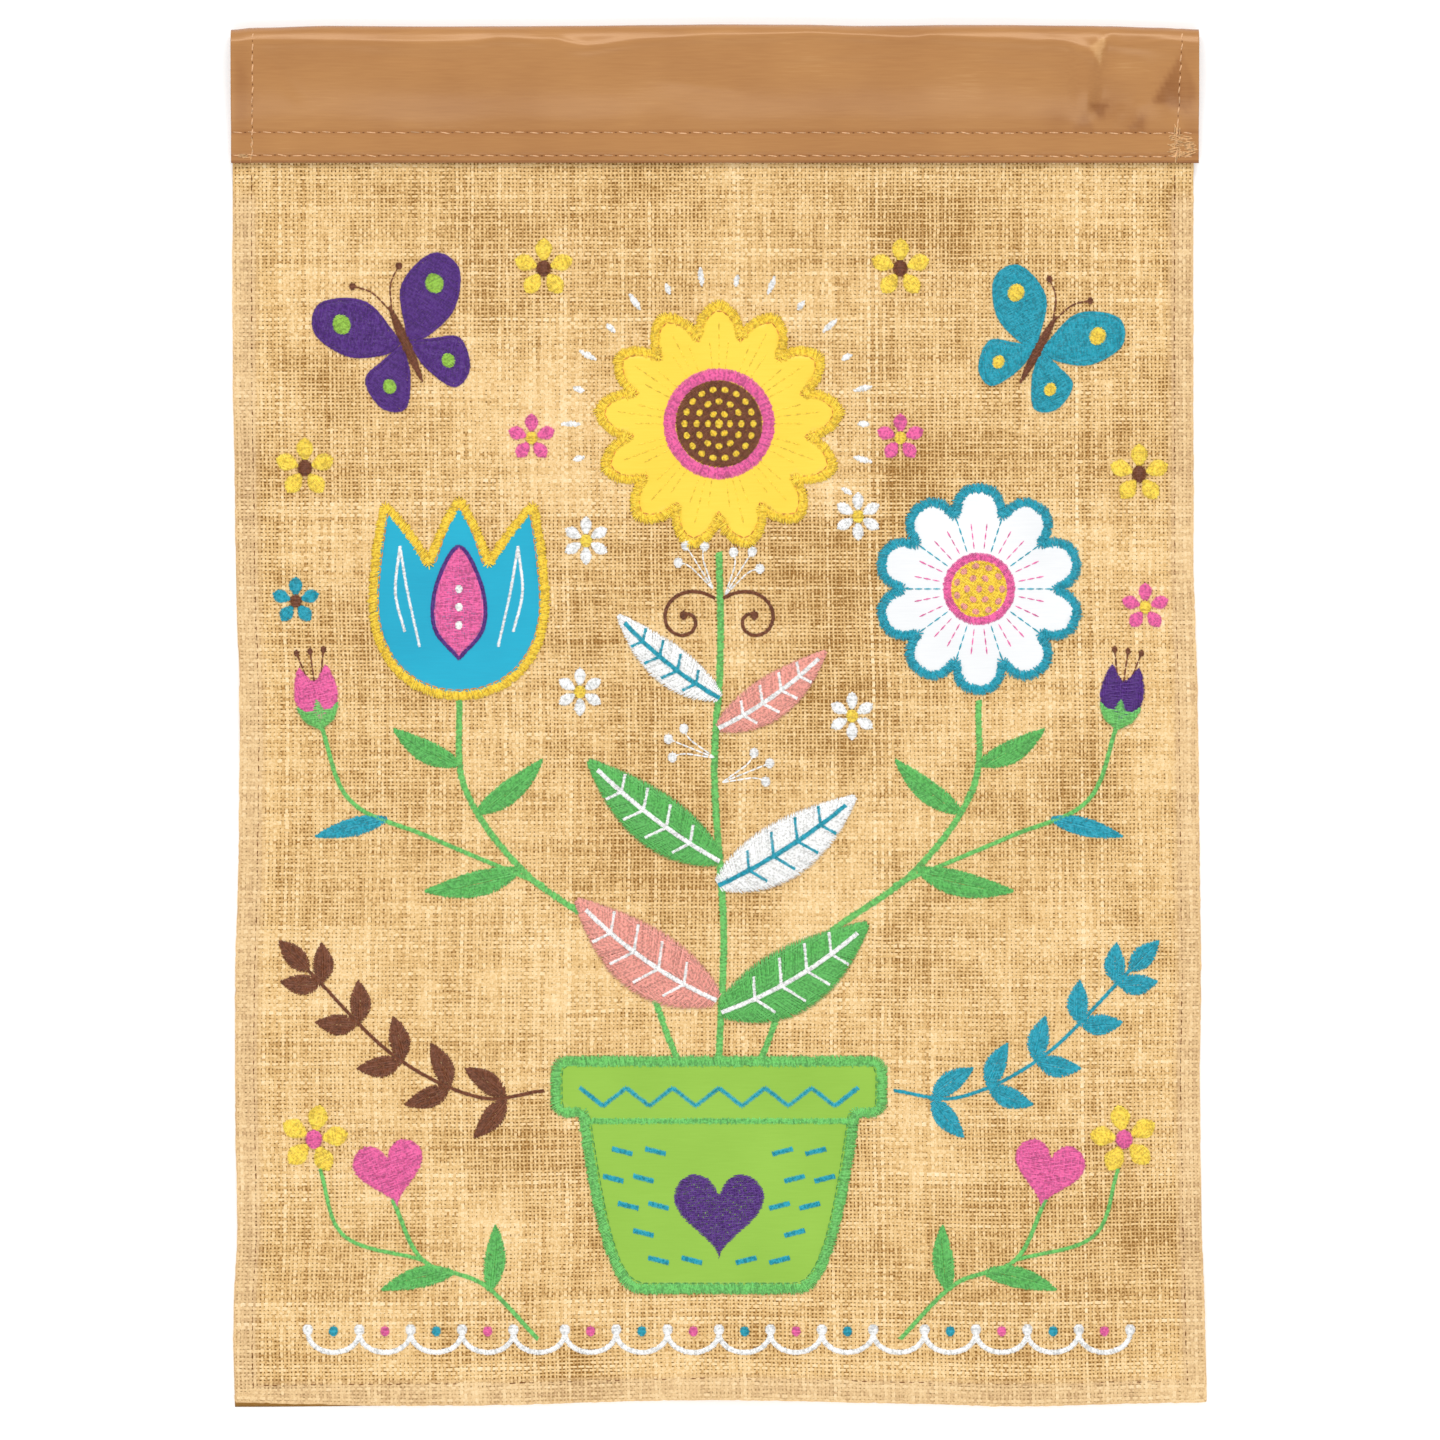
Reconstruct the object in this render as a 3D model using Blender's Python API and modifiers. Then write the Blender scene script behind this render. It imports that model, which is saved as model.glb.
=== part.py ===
"""A garden flag lying face up: burlap panel, satin pole sleeve and four satin patches.

Metres, +Z up, +Y towards the sleeve. The origin is on the surface it lies on, under the middle
of the flag. Sizes below are in millimetres, and MM turns them into metres.
"""

import math

import bmesh
import bpy
from mathutils import Vector
from mathutils.geometry import tessellate_polygon

MM = 0.001

# Driving sizes
CLOTH = 1.0
HEM_CLOTH = 1.8
GAP = 0.3
HEM_WIDTH = 7.0
HEM_STEP = 1.6
SLEEVE_DEPTH = 45.0
POCKET_DEPTH = 35.0
SEAM_Y = 192.9
WEB = 1.2
LIP_FRONT = 3 * CLOTH + 2 * GAP
NOSE_BOTTOM_RADIUS = 3.0
NOSE_LEVEL = 0.45
NOSE_BOTTOM_STEPS = 3
NOSE_TOP_STEPS = 4
FRONT_STEPS = 7
PLATEAU = 1.8

# The panel's side edges, as uneven as they lie
SIDE_COLUMNS = ("y", "left", "right")
SIDE_ROWS = (
    (192.0, -160.9, 156.9),
    (120.0, -160.7, 156.8),
    (50.0, -159.8, 156.9),
    (0.0, -158.3, 158.3),
    (-50.0, -158.8, 158.9),
    (-85.0, -159.9, 159.4),
    (-120.0, -160.1, 158.8),
    (-165.0, -159.1, 159.6),
    (-200.0, -160.8, 160.6),
    (-229.0, -160.1, 161.3),
)

# The panel's bottom edge, from left to right
BOTTOM_COLUMNS = ("x", "y")
BOTTOM_ROWS = (
    (-160.0, -228.6),
    (-90.0, -228.1),
    (0.0, -226.1),
    (50.0, -227.2),
    (96.0, -228.4),
    (146.0, -227.1),
    (162.0, -226.8),
)

# Places where the panel's edge lifts a little off the surface
LIFT_COLUMNS = ("x", "y", "reach", "height")
LIFT_ROWS = (
    (-160.0, 2.0, 26.0, 1.3),
    (159.0, 20.0, 30.0, 0.9),
    (162.0, -196.0, 22.0, 1.6),
    (4.0, -228.0, 34.0, 1.1),
    (-160.0, -160.0, 24.0, 0.8),
)

# The sleeve along its length: where its fold lies, how high its crest stands, how far the crest
# sits from the fold, and how far the front sinks between the crest and the seam
SLEEVE_COLUMNS = ("x", "fold", "crest", "setback", "sink")
SLEEVE_ROWS = (
    (-161.3, 226.7, 7.7, 6.0, 0.2),
    (-152.0, 227.5, 7.9, 5.0, 0.3),
    (-129.0, 228.1, 8.1, 6.0, 0.7),
    (-94.0, 227.9, 8.4, 7.5, 0.2),
    (-69.0, 228.0, 8.0, 5.0, 0.5),
    (-46.0, 228.1, 8.5, 9.0, 0.9),
    (-20.0, 228.4, 8.0, 5.5, 0.4),
    (0.0, 228.6, 8.2, 4.2, 0.2),
    (27.0, 228.5, 8.0, 4.0, 0.3),
    (47.0, 228.1, 8.3, 4.2, 0.7),
    (61.0, 228.2, 7.8, 6.5, 0.3),
    (75.0, 228.4, 8.3, 4.2, 0.2),
    (93.0, 228.4, 8.2, 5.0, 0.5),
    (113.0, 228.2, 8.0, 7.0, 0.8),
    (121.0, 228.1, 8.7, 10.0, 0.1),
    (128.0, 228.0, 8.0, 5.0, 0.9),
    (145.0, 227.5, 7.8, 5.0, 0.6),
    (158.6, 226.8, 7.6, 6.0, 0.2),
)
SLEEVE_STEP = 11.5

# How the panel's grid is spaced
PANEL_COLUMNS = 18
PANEL_ROWS = 22
PANEL_TOP = SEAM_Y - WEB - GAP
RISE_START = 172.0
RISE_END = 182.4
SEAM_ROWS = (176.0, 179.2, RISE_END, 187.0, PANEL_TOP)
PRESSED_FROM = 168.0
PRESSED_TO = 177.0

# The patches: where each sits, and its sizes
SUNFLOWER_CENTRE = (0.0, 96.0)
SUNFLOWER_RADIUS = 41.0
SUNFLOWER_NOTCH = 10.5
SUNFLOWER_PETALS = 13
SUNFLOWER_POINT = 0.45
DAISY_CENTRE = (86.0, 42.0)
DAISY_RADIUS = 34.0
DAISY_NOTCH = 8.5
DAISY_PETALS = 10
DAISY_POINT = 0.0
TULIP_CENTRE = (-86.0, 38.0)
POT_CENTRE = (0.0, -152.0)
POINTS_PER_PETAL = 8
PETAL_ROUNDNESS = 3.0
CURVE_STEPS = 7

# Half outlines from the bottom middle to the top middle, as Bezier pieces
TULIP_HALF = (
    ((0.0, -32.0), (18.0, -32.0), (30.0, -18.0), (29.0, 2.0)),
    ((29.0, 2.0), (28.5, 13.0), (27.0, 23.0), (25.0, 32.0)),
    ((25.0, 32.0), (19.0, 26.0), (14.0, 19.0), (10.5, 12.0)),
    ((10.5, 12.0), (8.0, 20.0), (4.0, 28.0), (0.0, 34.0)),
)
POT_HALF = (
    ((0.0, -38.0), (10.0, -38.0), (18.0, -38.0), (27.0, -38.0)),
    ((27.0, -38.0), (36.0, -38.0), (42.0, -6.0), (45.5, 21.0)),
    ((45.5, 21.0), (48.0, 21.0), (50.0, 21.0), (51.0, 21.0)),
    ((51.0, 21.0), (54.0, 21.0), (54.5, 23.0), (54.5, 25.0)),
    ((54.5, 25.0), (54.5, 29.0), (54.5, 32.0), (54.5, 34.0)),
    ((54.5, 34.0), (54.5, 37.0), (53.0, 38.0), (51.0, 38.0)),
    ((51.0, 38.0), (34.0, 38.0), (17.0, 38.0), (0.0, 38.0)),
)

BURLAP = (0.79, 0.51, 0.23, 1.0)
SATIN_TAN = (0.51, 0.25, 0.10, 1.0)
YELLOW = (0.98, 0.75, 0.10, 1.0)
WHITE = (0.92, 0.92, 0.90, 1.0)
TURQUOISE = (0.01, 0.47, 0.68, 1.0)
LIME = (0.30, 0.58, 0.08, 1.0)
BURLAP_ROUGHNESS = 0.9
SATIN_ROUGHNESS = 0.4


def smooth(share):
    """An S-shaped rise from 0 to 1."""
    share = min(1.0, max(0.0, share))
    return share * share * (3.0 - 2.0 * share)


def read_column(rows, columns, name, at):
    """The value of a table's column at a place along its first column, on smooth steps."""
    column = columns.index(name)
    ordered = sorted(rows)
    if at <= ordered[0][0]:
        return ordered[0][column]
    for low, high in zip(ordered, ordered[1:]):
        if at <= high[0]:
            share = (at - low[0]) / (high[0] - low[0])
            return low[column] + (high[column] - low[column]) * smooth(share)
    return ordered[-1][column]


def material(name, colour, roughness):
    made = bpy.data.materials.new(name)
    made.use_nodes = True
    shader = made.node_tree.nodes["Principled BSDF"]
    shader.inputs["Base Color"].default_value = colour
    shader.inputs["Roughness"].default_value = roughness
    shader.inputs["Metallic"].default_value = 0.0
    return made


def add_object(collection, name, mesh_builder, finish):
    """One named object from a bmesh, in metres, with its material."""
    mesh = bpy.data.meshes.new(name)
    mesh_builder.to_mesh(mesh)
    mesh_builder.free()
    made = bpy.data.objects.new(name, mesh)
    mesh.materials.append(finish)
    collection.objects.link(made)
    return made


def thicken(made, thickness, weights=None, least=1.0):
    """Gives an open sheet its thickness upwards, keeping its underside where it is."""
    solid = made.modifiers.new("thickness", "SOLIDIFY")
    solid.thickness = thickness * MM
    solid.offset = 1.0
    solid.use_even_offset = True
    if weights is None:
        return
    group = made.vertex_groups.new(name="hem")
    for index, weight in enumerate(weights):
        group.add([index], weight, "REPLACE")
    solid.vertex_group = group.name
    solid.thickness_vertex_group = least


def face_up(mesh_builder):
    """Turns an open sheet's faces upwards."""
    for face in mesh_builder.faces:
        face.normal_update()
        if face.normal.z < 0:
            face.normal_flip()


def panel_lift(x, y):
    """How far the panel's underside stands off the surface."""
    height = (CLOTH + GAP) * smooth((y - RISE_START) / (RISE_END - RISE_START))
    for row in LIFT_ROWS:
        lift_x, lift_y, reach, top = (row[LIFT_COLUMNS.index(name)] for name in LIFT_COLUMNS)
        distance = math.hypot(x - lift_x, y - lift_y) / reach
        if distance < 1.0:
            height += top * smooth(1.0 - distance)
    return height


def panel_columns():
    """Places across the panel, as (share of the width, shift to the right)."""
    left = [(0.0, 0.0), (0.0, HEM_WIDTH), (0.0, HEM_WIDTH + HEM_STEP)]
    middle = [(step / PANEL_COLUMNS, 0.0) for step in range(1, PANEL_COLUMNS)]
    right = [(1.0, -HEM_WIDTH - HEM_STEP), (1.0, -HEM_WIDTH), (1.0, 0.0)]
    return left + middle + right


def panel_rows():
    """Places up the panel, each with how far it follows the bottom edge's waver."""
    bottom = read_column(BOTTOM_ROWS, BOTTOM_COLUMNS, "y", 0.0)
    places = [(0.0, 0.0), (HEM_WIDTH, 0.0), (HEM_WIDTH + HEM_STEP, 0.0)]
    reach = RISE_START - bottom
    places += [(0.0, step / PANEL_ROWS) for step in range(1, PANEL_ROWS + 1)]
    return [(inset + share * reach, max(0.0, 1.0 - 2.0 * share)) for inset, share in places]


def build_panel(collection):
    """The burlap sheet with its hems, rising at the top to pass between the sleeve's lips."""
    mesh_builder = bmesh.new()
    bottom_middle = read_column(BOTTOM_ROWS, BOTTOM_COLUMNS, "y", 0.0)
    levels = [(bottom_middle + above, follow) for above, follow in panel_rows()]
    levels += [(y, 0.0) for y in SEAM_ROWS]
    grid = []
    weights = []
    for y_middle, follow in levels:
        left = read_column(SIDE_ROWS, SIDE_COLUMNS, "left", y_middle)
        right = read_column(SIDE_ROWS, SIDE_COLUMNS, "right", y_middle)
        line = []
        for share, inset in panel_columns():
            x = left + (right - left) * share + inset
            y = y_middle
            y += follow * (read_column(BOTTOM_ROWS, BOTTOM_COLUMNS, "y", x) - bottom_middle)
            line.append(mesh_builder.verts.new(Vector((x, y, panel_lift(x, y))) * MM))
            from_side = min(x - left, right - x)
            from_bottom = y_middle - bottom_middle
            in_hem = min(from_side, from_bottom) < HEM_WIDTH + HEM_STEP / 2
            pressed = smooth((y_middle - PRESSED_FROM) / (PRESSED_TO - PRESSED_FROM))
            weights.append((1.0 - pressed) if in_hem else 0.0)
        grid.append(line)
    for low, high in zip(grid, grid[1:]):
        for index in range(len(low) - 1):
            mesh_builder.faces.new((low[index], low[index + 1], high[index + 1], high[index]))
    face_up(mesh_builder)
    finish = material("burlap", BURLAP, BURLAP_ROUGHNESS)
    made = add_object(collection, "burlap_panel", mesh_builder, finish)
    thicken(made, HEM_CLOTH, weights, CLOTH / HEM_CLOTH)
    return made


def front_height(share, crest, sink):
    """The height of the sleeve's front at a share of the way from its crest to the seam."""
    fall = 0.5 + 0.5 * math.cos(math.pi * share**PLATEAU)
    return LIP_FRONT + (crest - LIP_FRONT) * fall - sink * math.sin(math.pi * share)


def sleeve_y(distance, fold):
    """Turns a distance from the fold into a place along Y. The seam runs straight."""
    seam = SEAM_Y - (distance - POCKET_DEPTH)
    stretch = max(0.0, 1.0 - distance / POCKET_DEPTH)
    return seam + (fold - SEAM_Y - POCKET_DEPTH) * stretch


def nose(crest, setback, inset):
    """The fold's rounded nose, from the flat back wall up to the crest, as (distance, height)."""
    level = crest * NOSE_LEVEL
    points = []
    for step in range(1, NOSE_BOTTOM_STEPS + 1):
        turn = math.pi / 2.0 * step / NOSE_BOTTOM_STEPS
        distance = NOSE_BOTTOM_RADIUS - (NOSE_BOTTOM_RADIUS - inset) * math.sin(turn)
        points.append((distance, level - (level - inset) * math.cos(turn)))
    for step in range(1, NOSE_TOP_STEPS + 1):
        turn = math.pi / 2.0 * step / NOSE_TOP_STEPS
        distance = setback - (setback - inset) * math.cos(turn)
        points.append((distance, level + (crest - inset - level) * math.sin(turn)))
    return points


def front_wall(crest, setback, sink, inset):
    """The front wall from the crest to the seam, as (distance, height)."""
    points = []
    for step in range(1, FRONT_STEPS + 1):
        share = step / FRONT_STEPS
        distance = setback + (POCKET_DEPTH - setback) * share
        points.append((distance, front_height(share, crest, sink) - inset))
    return points


def sleeve_section(x):
    """The sleeve's outer ring and its pocket's ring at one place along it."""
    fold, crest, setback, sink = (
        read_column(SLEEVE_ROWS, SLEEVE_COLUMNS, name, x) for name in SLEEVE_COLUMNS[1:]
    )
    slot_start = POCKET_DEPTH + WEB
    outer = [(SLEEVE_DEPTH - CLOTH, 0.0), (NOSE_BOTTOM_RADIUS, 0.0)]
    outer += nose(crest, setback, 0.0)
    outer += front_wall(crest, setback, sink, 0.0)
    outer += [
        (SLEEVE_DEPTH, LIP_FRONT),
        (SLEEVE_DEPTH, LIP_FRONT - CLOTH),
        (slot_start, LIP_FRONT - CLOTH),
        (slot_start, CLOTH),
        (SLEEVE_DEPTH - CLOTH, CLOTH),
    ]
    pocket = [(POCKET_DEPTH, CLOTH), (NOSE_BOTTOM_RADIUS, CLOTH)]
    pocket += nose(crest, setback, CLOTH)
    pocket += front_wall(crest, setback, sink, CLOTH)
    return [
        [Vector((x, sleeve_y(distance, fold), z)) * MM for distance, z in ring]
        for ring in (outer, pocket)
    ]


def sleeve_places():
    """Even places along the sleeve, and the table's own so that its creases are met."""
    places = [row[0] for row in SLEEVE_ROWS]
    for low, high in zip(SLEEVE_ROWS, SLEEVE_ROWS[1:]):
        parts = math.ceil((high[0] - low[0]) / SLEEVE_STEP)
        places += [low[0] + (high[0] - low[0]) * part / parts for part in range(1, parts)]
    return sorted(places)


def build_sleeve(collection):
    """The satin pole sleeve, a loft of its sections with the pocket open at both ends."""
    mesh_builder = bmesh.new()
    sections = []
    for x in sleeve_places():
        rings = sleeve_section(x)
        sections.append([[mesh_builder.verts.new(point) for point in ring] for ring in rings])
    for first, second in zip(sections, sections[1:]):
        for ring_a, ring_b in zip(first, second):
            for index in range(len(ring_a)):
                after = (index + 1) % len(ring_a)
                corners = (ring_a[index], ring_a[after], ring_b[after], ring_b[index])
                mesh_builder.faces.new(corners)
    for rings in (sections[0], sections[-1]):
        corners = [vertex for ring in rings for vertex in ring]
        flat = [[Vector((0.0, vertex.co.y, vertex.co.z)) for vertex in ring] for ring in rings]
        for triangle in tessellate_polygon(flat):
            mesh_builder.faces.new([corners[index] for index in triangle])
    bmesh.ops.recalc_face_normals(mesh_builder, faces=mesh_builder.faces)
    finish = material("satin_tan", SATIN_TAN, SATIN_ROUGHNESS)
    return add_object(collection, "header_sleeve", mesh_builder, finish)


def petalled_outline(radius, notch, petals, point):
    """A round outline of petals with sharp notches between, and tips from round (0) to pointed."""
    outline = []
    for petal in range(petals):
        for step in range(POINTS_PER_PETAL):
            across = 2.0 * step / POINTS_PER_PETAL - 1.0
            turn = 2.0 * math.pi * (petal + across / 2.0) / petals
            fall = point * abs(across) + (1.0 - point) * abs(across) ** PETAL_ROUNDNESS
            reach = radius - notch * fall
            outline.append((reach * math.sin(turn), reach * math.cos(turn)))
    return outline


def mirrored_outline(half):
    """A closed outline from its right half's Bezier pieces, bottom middle to top middle."""
    points = [half[0][0]]
    for start, pull_start, pull_end, end in half:
        for step in range(1, CURVE_STEPS + 1):
            t = step / CURVE_STEPS
            weights = ((1 - t) ** 3, 3 * t * (1 - t) ** 2, 3 * t * t * (1 - t), t**3)
            corners = (start, pull_start, pull_end, end)
            x = sum(weight * corner[0] for weight, corner in zip(weights, corners))
            y = sum(weight * corner[1] for weight, corner in zip(weights, corners))
            points.append((x, y))
    mirrored = [(-x, y) for x, y in reversed(points[1:-1])]
    return points + mirrored


def build_patch(collection, name, outline, centre, finish):
    """A flat satin patch lying on the panel."""
    mesh_builder = bmesh.new()
    corners = [mesh_builder.verts.new(Vector((x, y, 0.0)) * MM) for x, y in outline]
    mesh_builder.faces.new(corners)
    face_up(mesh_builder)
    made = add_object(collection, name, mesh_builder, finish)
    made.location = Vector((centre[0], centre[1], CLOTH + GAP)) * MM
    thicken(made, CLOTH)
    return made


def build_patches(collection):
    sunflower = petalled_outline(
        SUNFLOWER_RADIUS, SUNFLOWER_NOTCH, SUNFLOWER_PETALS, SUNFLOWER_POINT
    )
    daisy = petalled_outline(DAISY_RADIUS, DAISY_NOTCH, DAISY_PETALS, DAISY_POINT)
    tulip = mirrored_outline(TULIP_HALF)
    pot = mirrored_outline(POT_HALF)
    patches = (
        ("sunflower", sunflower, SUNFLOWER_CENTRE, "satin_yellow", YELLOW),
        ("daisy", daisy, DAISY_CENTRE, "satin_white", WHITE),
        ("tulip", tulip, TULIP_CENTRE, "satin_turquoise", TURQUOISE),
        ("pot", pot, POT_CENTRE, "satin_lime", LIME),
    )
    for name, outline, centre, cloth, colour in patches:
        finish = material(cloth, colour, SATIN_ROUGHNESS)
        build_patch(collection, "applique_" + name, outline, centre, finish)


def main():
    for old in list(bpy.data.objects):
        bpy.data.objects.remove(old, do_unlink=True)
    collection = bpy.data.collections.new("garden_flag")
    bpy.context.scene.collection.children.link(collection)
    build_panel(collection)
    build_sleeve(collection)
    build_patches(collection)


main()
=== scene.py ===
"""Looks of a garden flag that lies face up on a pale floor, seen from straight above.

Lengths are millimetres in the flag's own frame (+X right, +Y towards the sleeve, +Z up), and MM
turns them into metres. The burlap's yarns and every stitch are modelled.
"""

import math

import bmesh
import bpy
import numpy as np
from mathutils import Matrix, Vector
from mathutils.bvhtree import BVHTree
from mathutils.geometry import delaunay_2d_cdt


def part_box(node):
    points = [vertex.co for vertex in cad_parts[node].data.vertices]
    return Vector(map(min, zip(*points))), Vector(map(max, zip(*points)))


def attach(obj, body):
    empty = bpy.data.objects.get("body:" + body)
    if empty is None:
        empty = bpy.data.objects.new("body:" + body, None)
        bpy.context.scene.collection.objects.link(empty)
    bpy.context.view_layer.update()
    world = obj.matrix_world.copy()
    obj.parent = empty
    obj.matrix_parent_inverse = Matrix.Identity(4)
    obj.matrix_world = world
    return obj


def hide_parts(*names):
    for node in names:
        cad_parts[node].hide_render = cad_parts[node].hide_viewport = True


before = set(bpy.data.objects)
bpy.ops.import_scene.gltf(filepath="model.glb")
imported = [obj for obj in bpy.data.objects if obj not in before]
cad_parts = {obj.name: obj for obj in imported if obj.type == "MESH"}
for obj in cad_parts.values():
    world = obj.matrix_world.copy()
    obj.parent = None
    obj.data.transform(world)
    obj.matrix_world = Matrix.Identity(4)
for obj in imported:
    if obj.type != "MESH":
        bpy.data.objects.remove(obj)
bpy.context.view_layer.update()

MM = 0.001
SEED = 20

# Cloth sizes
GAP = 0.3
CAD_CLOTH = 1.0
SHEET_TOP = 0.46
SHEET_BOTTOM = 0.03
HEM_WIDTH = 7.0
HEM_STEP = 1.8
HEM_RISE = 0.72
EDGE_ROUND = 0.9
HEM_STITCH_INSET = 6.2
HEM_STITCH_DIMPLE = 0.28
HEM_DIMPLE_HALF = 0.8
EDGE_LEAST = 0.35
EDGE_GROUP = 0.6
EDGE_SMOOTHING = 6
PATCH_HIDES_FROM = 2.0

# The sheet's span before its edges waver
SHEET_LEFT = -159.6
SHEET_RIGHT = 157.6
SHEET_LOW = -226.1
SHEET_HIGH = 190.5
SLEEVE_LOWER_EDGE = 182.9

# Where the bottom hem's back layer looks out below its front
PEEK_X = -160.0
PEEK_HALF = 55.0
PEEK_REACH = 1.5

# Patches: node, slot, colour and shade in screen values, border, its width and its inner line, a
# thread of painted shade along the border's inner edge
PATCH_ROWS = (
    ("applique_sunflower", "satin_yellow", (252, 222, 84), (246, 206, 66), "gold", 3.5, "amber"),
    ("applique_daisy", "satin_white", (246, 247, 248), (232, 235, 238), "turquoise", 3.5, None),
    ("applique_tulip", "satin_turquoise", (16, 176, 208), (8, 160, 194), "gold", 3.4, "amber"),
    ("applique_pot", "satin_lime", (150, 198, 76), (138, 186, 66), "green", 3.9, "forest"),
)

# Where the panel rises to pass between the sleeve's lips
RISE_START = 172.0
RISE_END = 182.4
PRESSED_FROM = 168.0
PRESSED_TO = 177.0

# Places where the panel's edge lifts a little off the surface: x, y, reach, height
LIFT_ROWS = (
    (-160.0, 2.0, 26.0, 1.3),
    (159.0, 20.0, 30.0, 0.9),
    (162.0, -196.0, 22.0, 1.6),
    (4.0, -228.0, 34.0, 1.1),
    (-160.0, -160.0, 24.0, 0.8),
)

# The weave
YARN_PITCH = 1.27
YARN_INSET = 0.4
LEAST_INSET = 0.3
WEAVE_UNDER_SLEEVE = 1.5
WARP_HALF = 0.425
WEFT_HALF = 0.415
YARN_THINNEST = 0.26
YARN_THICKEST = 0.62
YARN_CROWN = 0.12
YARN_SWING = 0.13
YARN_LEVEL = 0.18
YARN_WANDER = 0.08
YARN_SHAKE = 0.07
WANDER_REACH = 9.0
OPEN_PATCHES = 22.0
SLUB_REACH = 13.0
FINE_REACH = 1.4
HEM_FLATTENS = 0.35

# What changes a yarn's width and tone: slubs, its own character, fine changes, openness, hems
WIDTH_SHARES = (0.06, 0.04, 0.12, -0.15, 0.0)
TONE_SHARES = (0.05, 0.08, 0.06, -0.05, -0.12)
YARN_TONE = 0.39

# Thread
STITCH_PITCH = 0.45
LEAF_LEAN = 0.30
THREAD_RADIUS = 0.28
UNDERLAY_PITCH = 0.8
FACE_OVER_GROUND = 0.86
PATCH_LEVEL = 1.28
PATCH_CLOTH = 0.26


def smooth(share):
    """An S-shaped rise from 0 to 1, for arrays too."""
    share = np.clip(share, 0.0, 1.0)
    return share * share * (3.0 - 2.0 * share)


def soft_noise(random, rows, count, reach):
    """Rows of smooth noise of spread about 1, changing over a reach counted in places."""
    knots = random.normal(size=(rows, int(count / reach) + 3))
    places = np.arange(count) / reach
    low = places.astype(int)
    share = smooth(places - low)
    return knots[:, low] * (1.0 - share) + knots[:, low + 1] * share


def soft_field(random, rows, columns, reach):
    """Smooth noise over a grid, of spread about 1, in patches of about that reach."""
    knots = soft_noise(random, int(rows / reach) + 3, columns, reach)
    places = np.arange(rows) / reach
    low = places.astype(int)
    share = smooth(places - low)[:, None]
    return knots[low] * (1.0 - share) + knots[low + 1] * share


# Meshes from arrays
def mesh_object(name, vertices, faces, finish, tone=None, pale=None):
    """A mesh object from vertices in millimetres and a list of face arrays of 3 or 4 corners."""
    faces = [np.asarray(part, np.int32) for part in faces if len(part)]
    used, index = np.unique(np.concatenate([part.ravel() for part in faces]), return_inverse=True)
    vertices = np.asarray(vertices, float)[used] * MM
    sizes = np.concatenate([np.full(len(part), part.shape[1]) for part in faces])
    starts = np.concatenate([[0], np.cumsum(sizes)[:-1]])
    mesh = bpy.data.meshes.new(name)
    mesh.vertices.add(len(vertices))
    mesh.vertices.foreach_set("co", vertices.astype(np.float32).ravel())
    mesh.loops.add(len(index))
    mesh.loops.foreach_set("vertex_index", index.astype(np.int32).ravel())
    mesh.polygons.add(len(sizes))
    mesh.polygons.foreach_set("loop_start", starts.astype(np.int32))
    mesh.update(calc_edges=True)
    mesh.polygons.foreach_set("use_smooth", np.ones(len(sizes), bool))
    low = vertices.min(0)
    span = np.maximum(vertices.max(0) - low, MM)
    flat = ((vertices - low) / span)[index.ravel()][:, :2]
    mesh.uv_layers.new(name="OFBake").data.foreach_set("uv", flat.astype(np.float32).ravel())
    for label, given in (("tone", tone), ("pale", pale)):
        if given is not None:
            values = np.asarray(given, np.float32)[used]
            mesh.attributes.new(label, "FLOAT", "POINT").data.foreach_set("value", values)
    mesh.materials.append(finish)
    made = bpy.data.objects.new(name, mesh)
    bpy.context.scene.collection.objects.link(made)
    return made


def grid_faces(rows, columns, start=0, closed=False):
    """Quads of a grid of vertices numbered row by row, going round the columns if closed."""
    across = columns if closed else columns - 1
    low, step = np.meshgrid(np.arange(rows - 1), np.arange(across), indexing="ij")
    after = (step + 1) % columns
    corners = [low * columns + step, low * columns + after]
    corners += [(low + 1) * columns + after, (low + 1) * columns + step]
    return np.stack(corners, axis=-1).reshape(-1, 4) + start


# Reading the frame
def node_points(name):
    """A node's vertices in millimetres."""
    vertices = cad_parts[name].data.vertices
    points = np.zeros(len(vertices) * 3)
    vertices.foreach_get("co", points)
    return points.reshape(-1, 3) / MM


def edge_line(points, along, across, side):
    """One of the panel's edges as a smooth function of the place along it."""
    reach = EDGE_SMOOTHING
    places = []
    for row in np.unique(np.round(points[:, along])):
        group = points[np.abs(points[:, along] - row) < EDGE_GROUP]
        outer = group[np.argmax(side * group[:, across])]
        places.append((outer[along], outer[across]))
    places = np.array(sorted(places))
    fine = np.arange(places[0, 0] - 2 * reach, places[-1, 0] + 2 * reach)
    values = np.interp(fine, places[:, 0], places[:, 1])
    kernel = np.hanning(2 * reach + 3)
    padded = np.pad(values, reach + 1, mode="edge")
    values = np.convolve(padded, kernel / kernel.sum(), mode="valid")
    return lambda at: np.interp(at, fine, values)


def node_outline(name):
    """The outline of a patch's node, in order, in millimetres."""
    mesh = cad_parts[name].data
    points = node_points(name)
    level = points[:, 2].max() - CAD_CLOTH / 2
    key = {}
    for index, point in enumerate(points):
        key[index] = (round(point[0], 2), round(point[1], 2))
    count = {}
    for face in mesh.polygons:
        if min(points[corner, 2] for corner in face.vertices) < level:
            continue
        corners = [key[corner] for corner in face.vertices]
        for first, second in zip(corners, corners[1:] + corners[:1]):
            count[(first, second)] = count.get((first, second), 0) + 1
    after = {first: second for first, second in count if (second, first) not in count}
    outline = [next(iter(after))]
    while after[outline[-1]] != outline[0]:
        outline.append(after[outline[-1]])
    return np.array(outline)


panel_points = node_points("burlap_panel")
left_edge = edge_line(panel_points[panel_points[:, 0] < -156.5], 1, 0, -1.0)
right_edge = edge_line(panel_points[panel_points[:, 0] > 155.6], 1, 0, 1.0)
bottom_edge = edge_line(panel_points[panel_points[:, 1] < -224.0], 0, 1, -1.0)
patch_outlines = {row[0]: node_outline(row[0]) for row in PATCH_ROWS}


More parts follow.
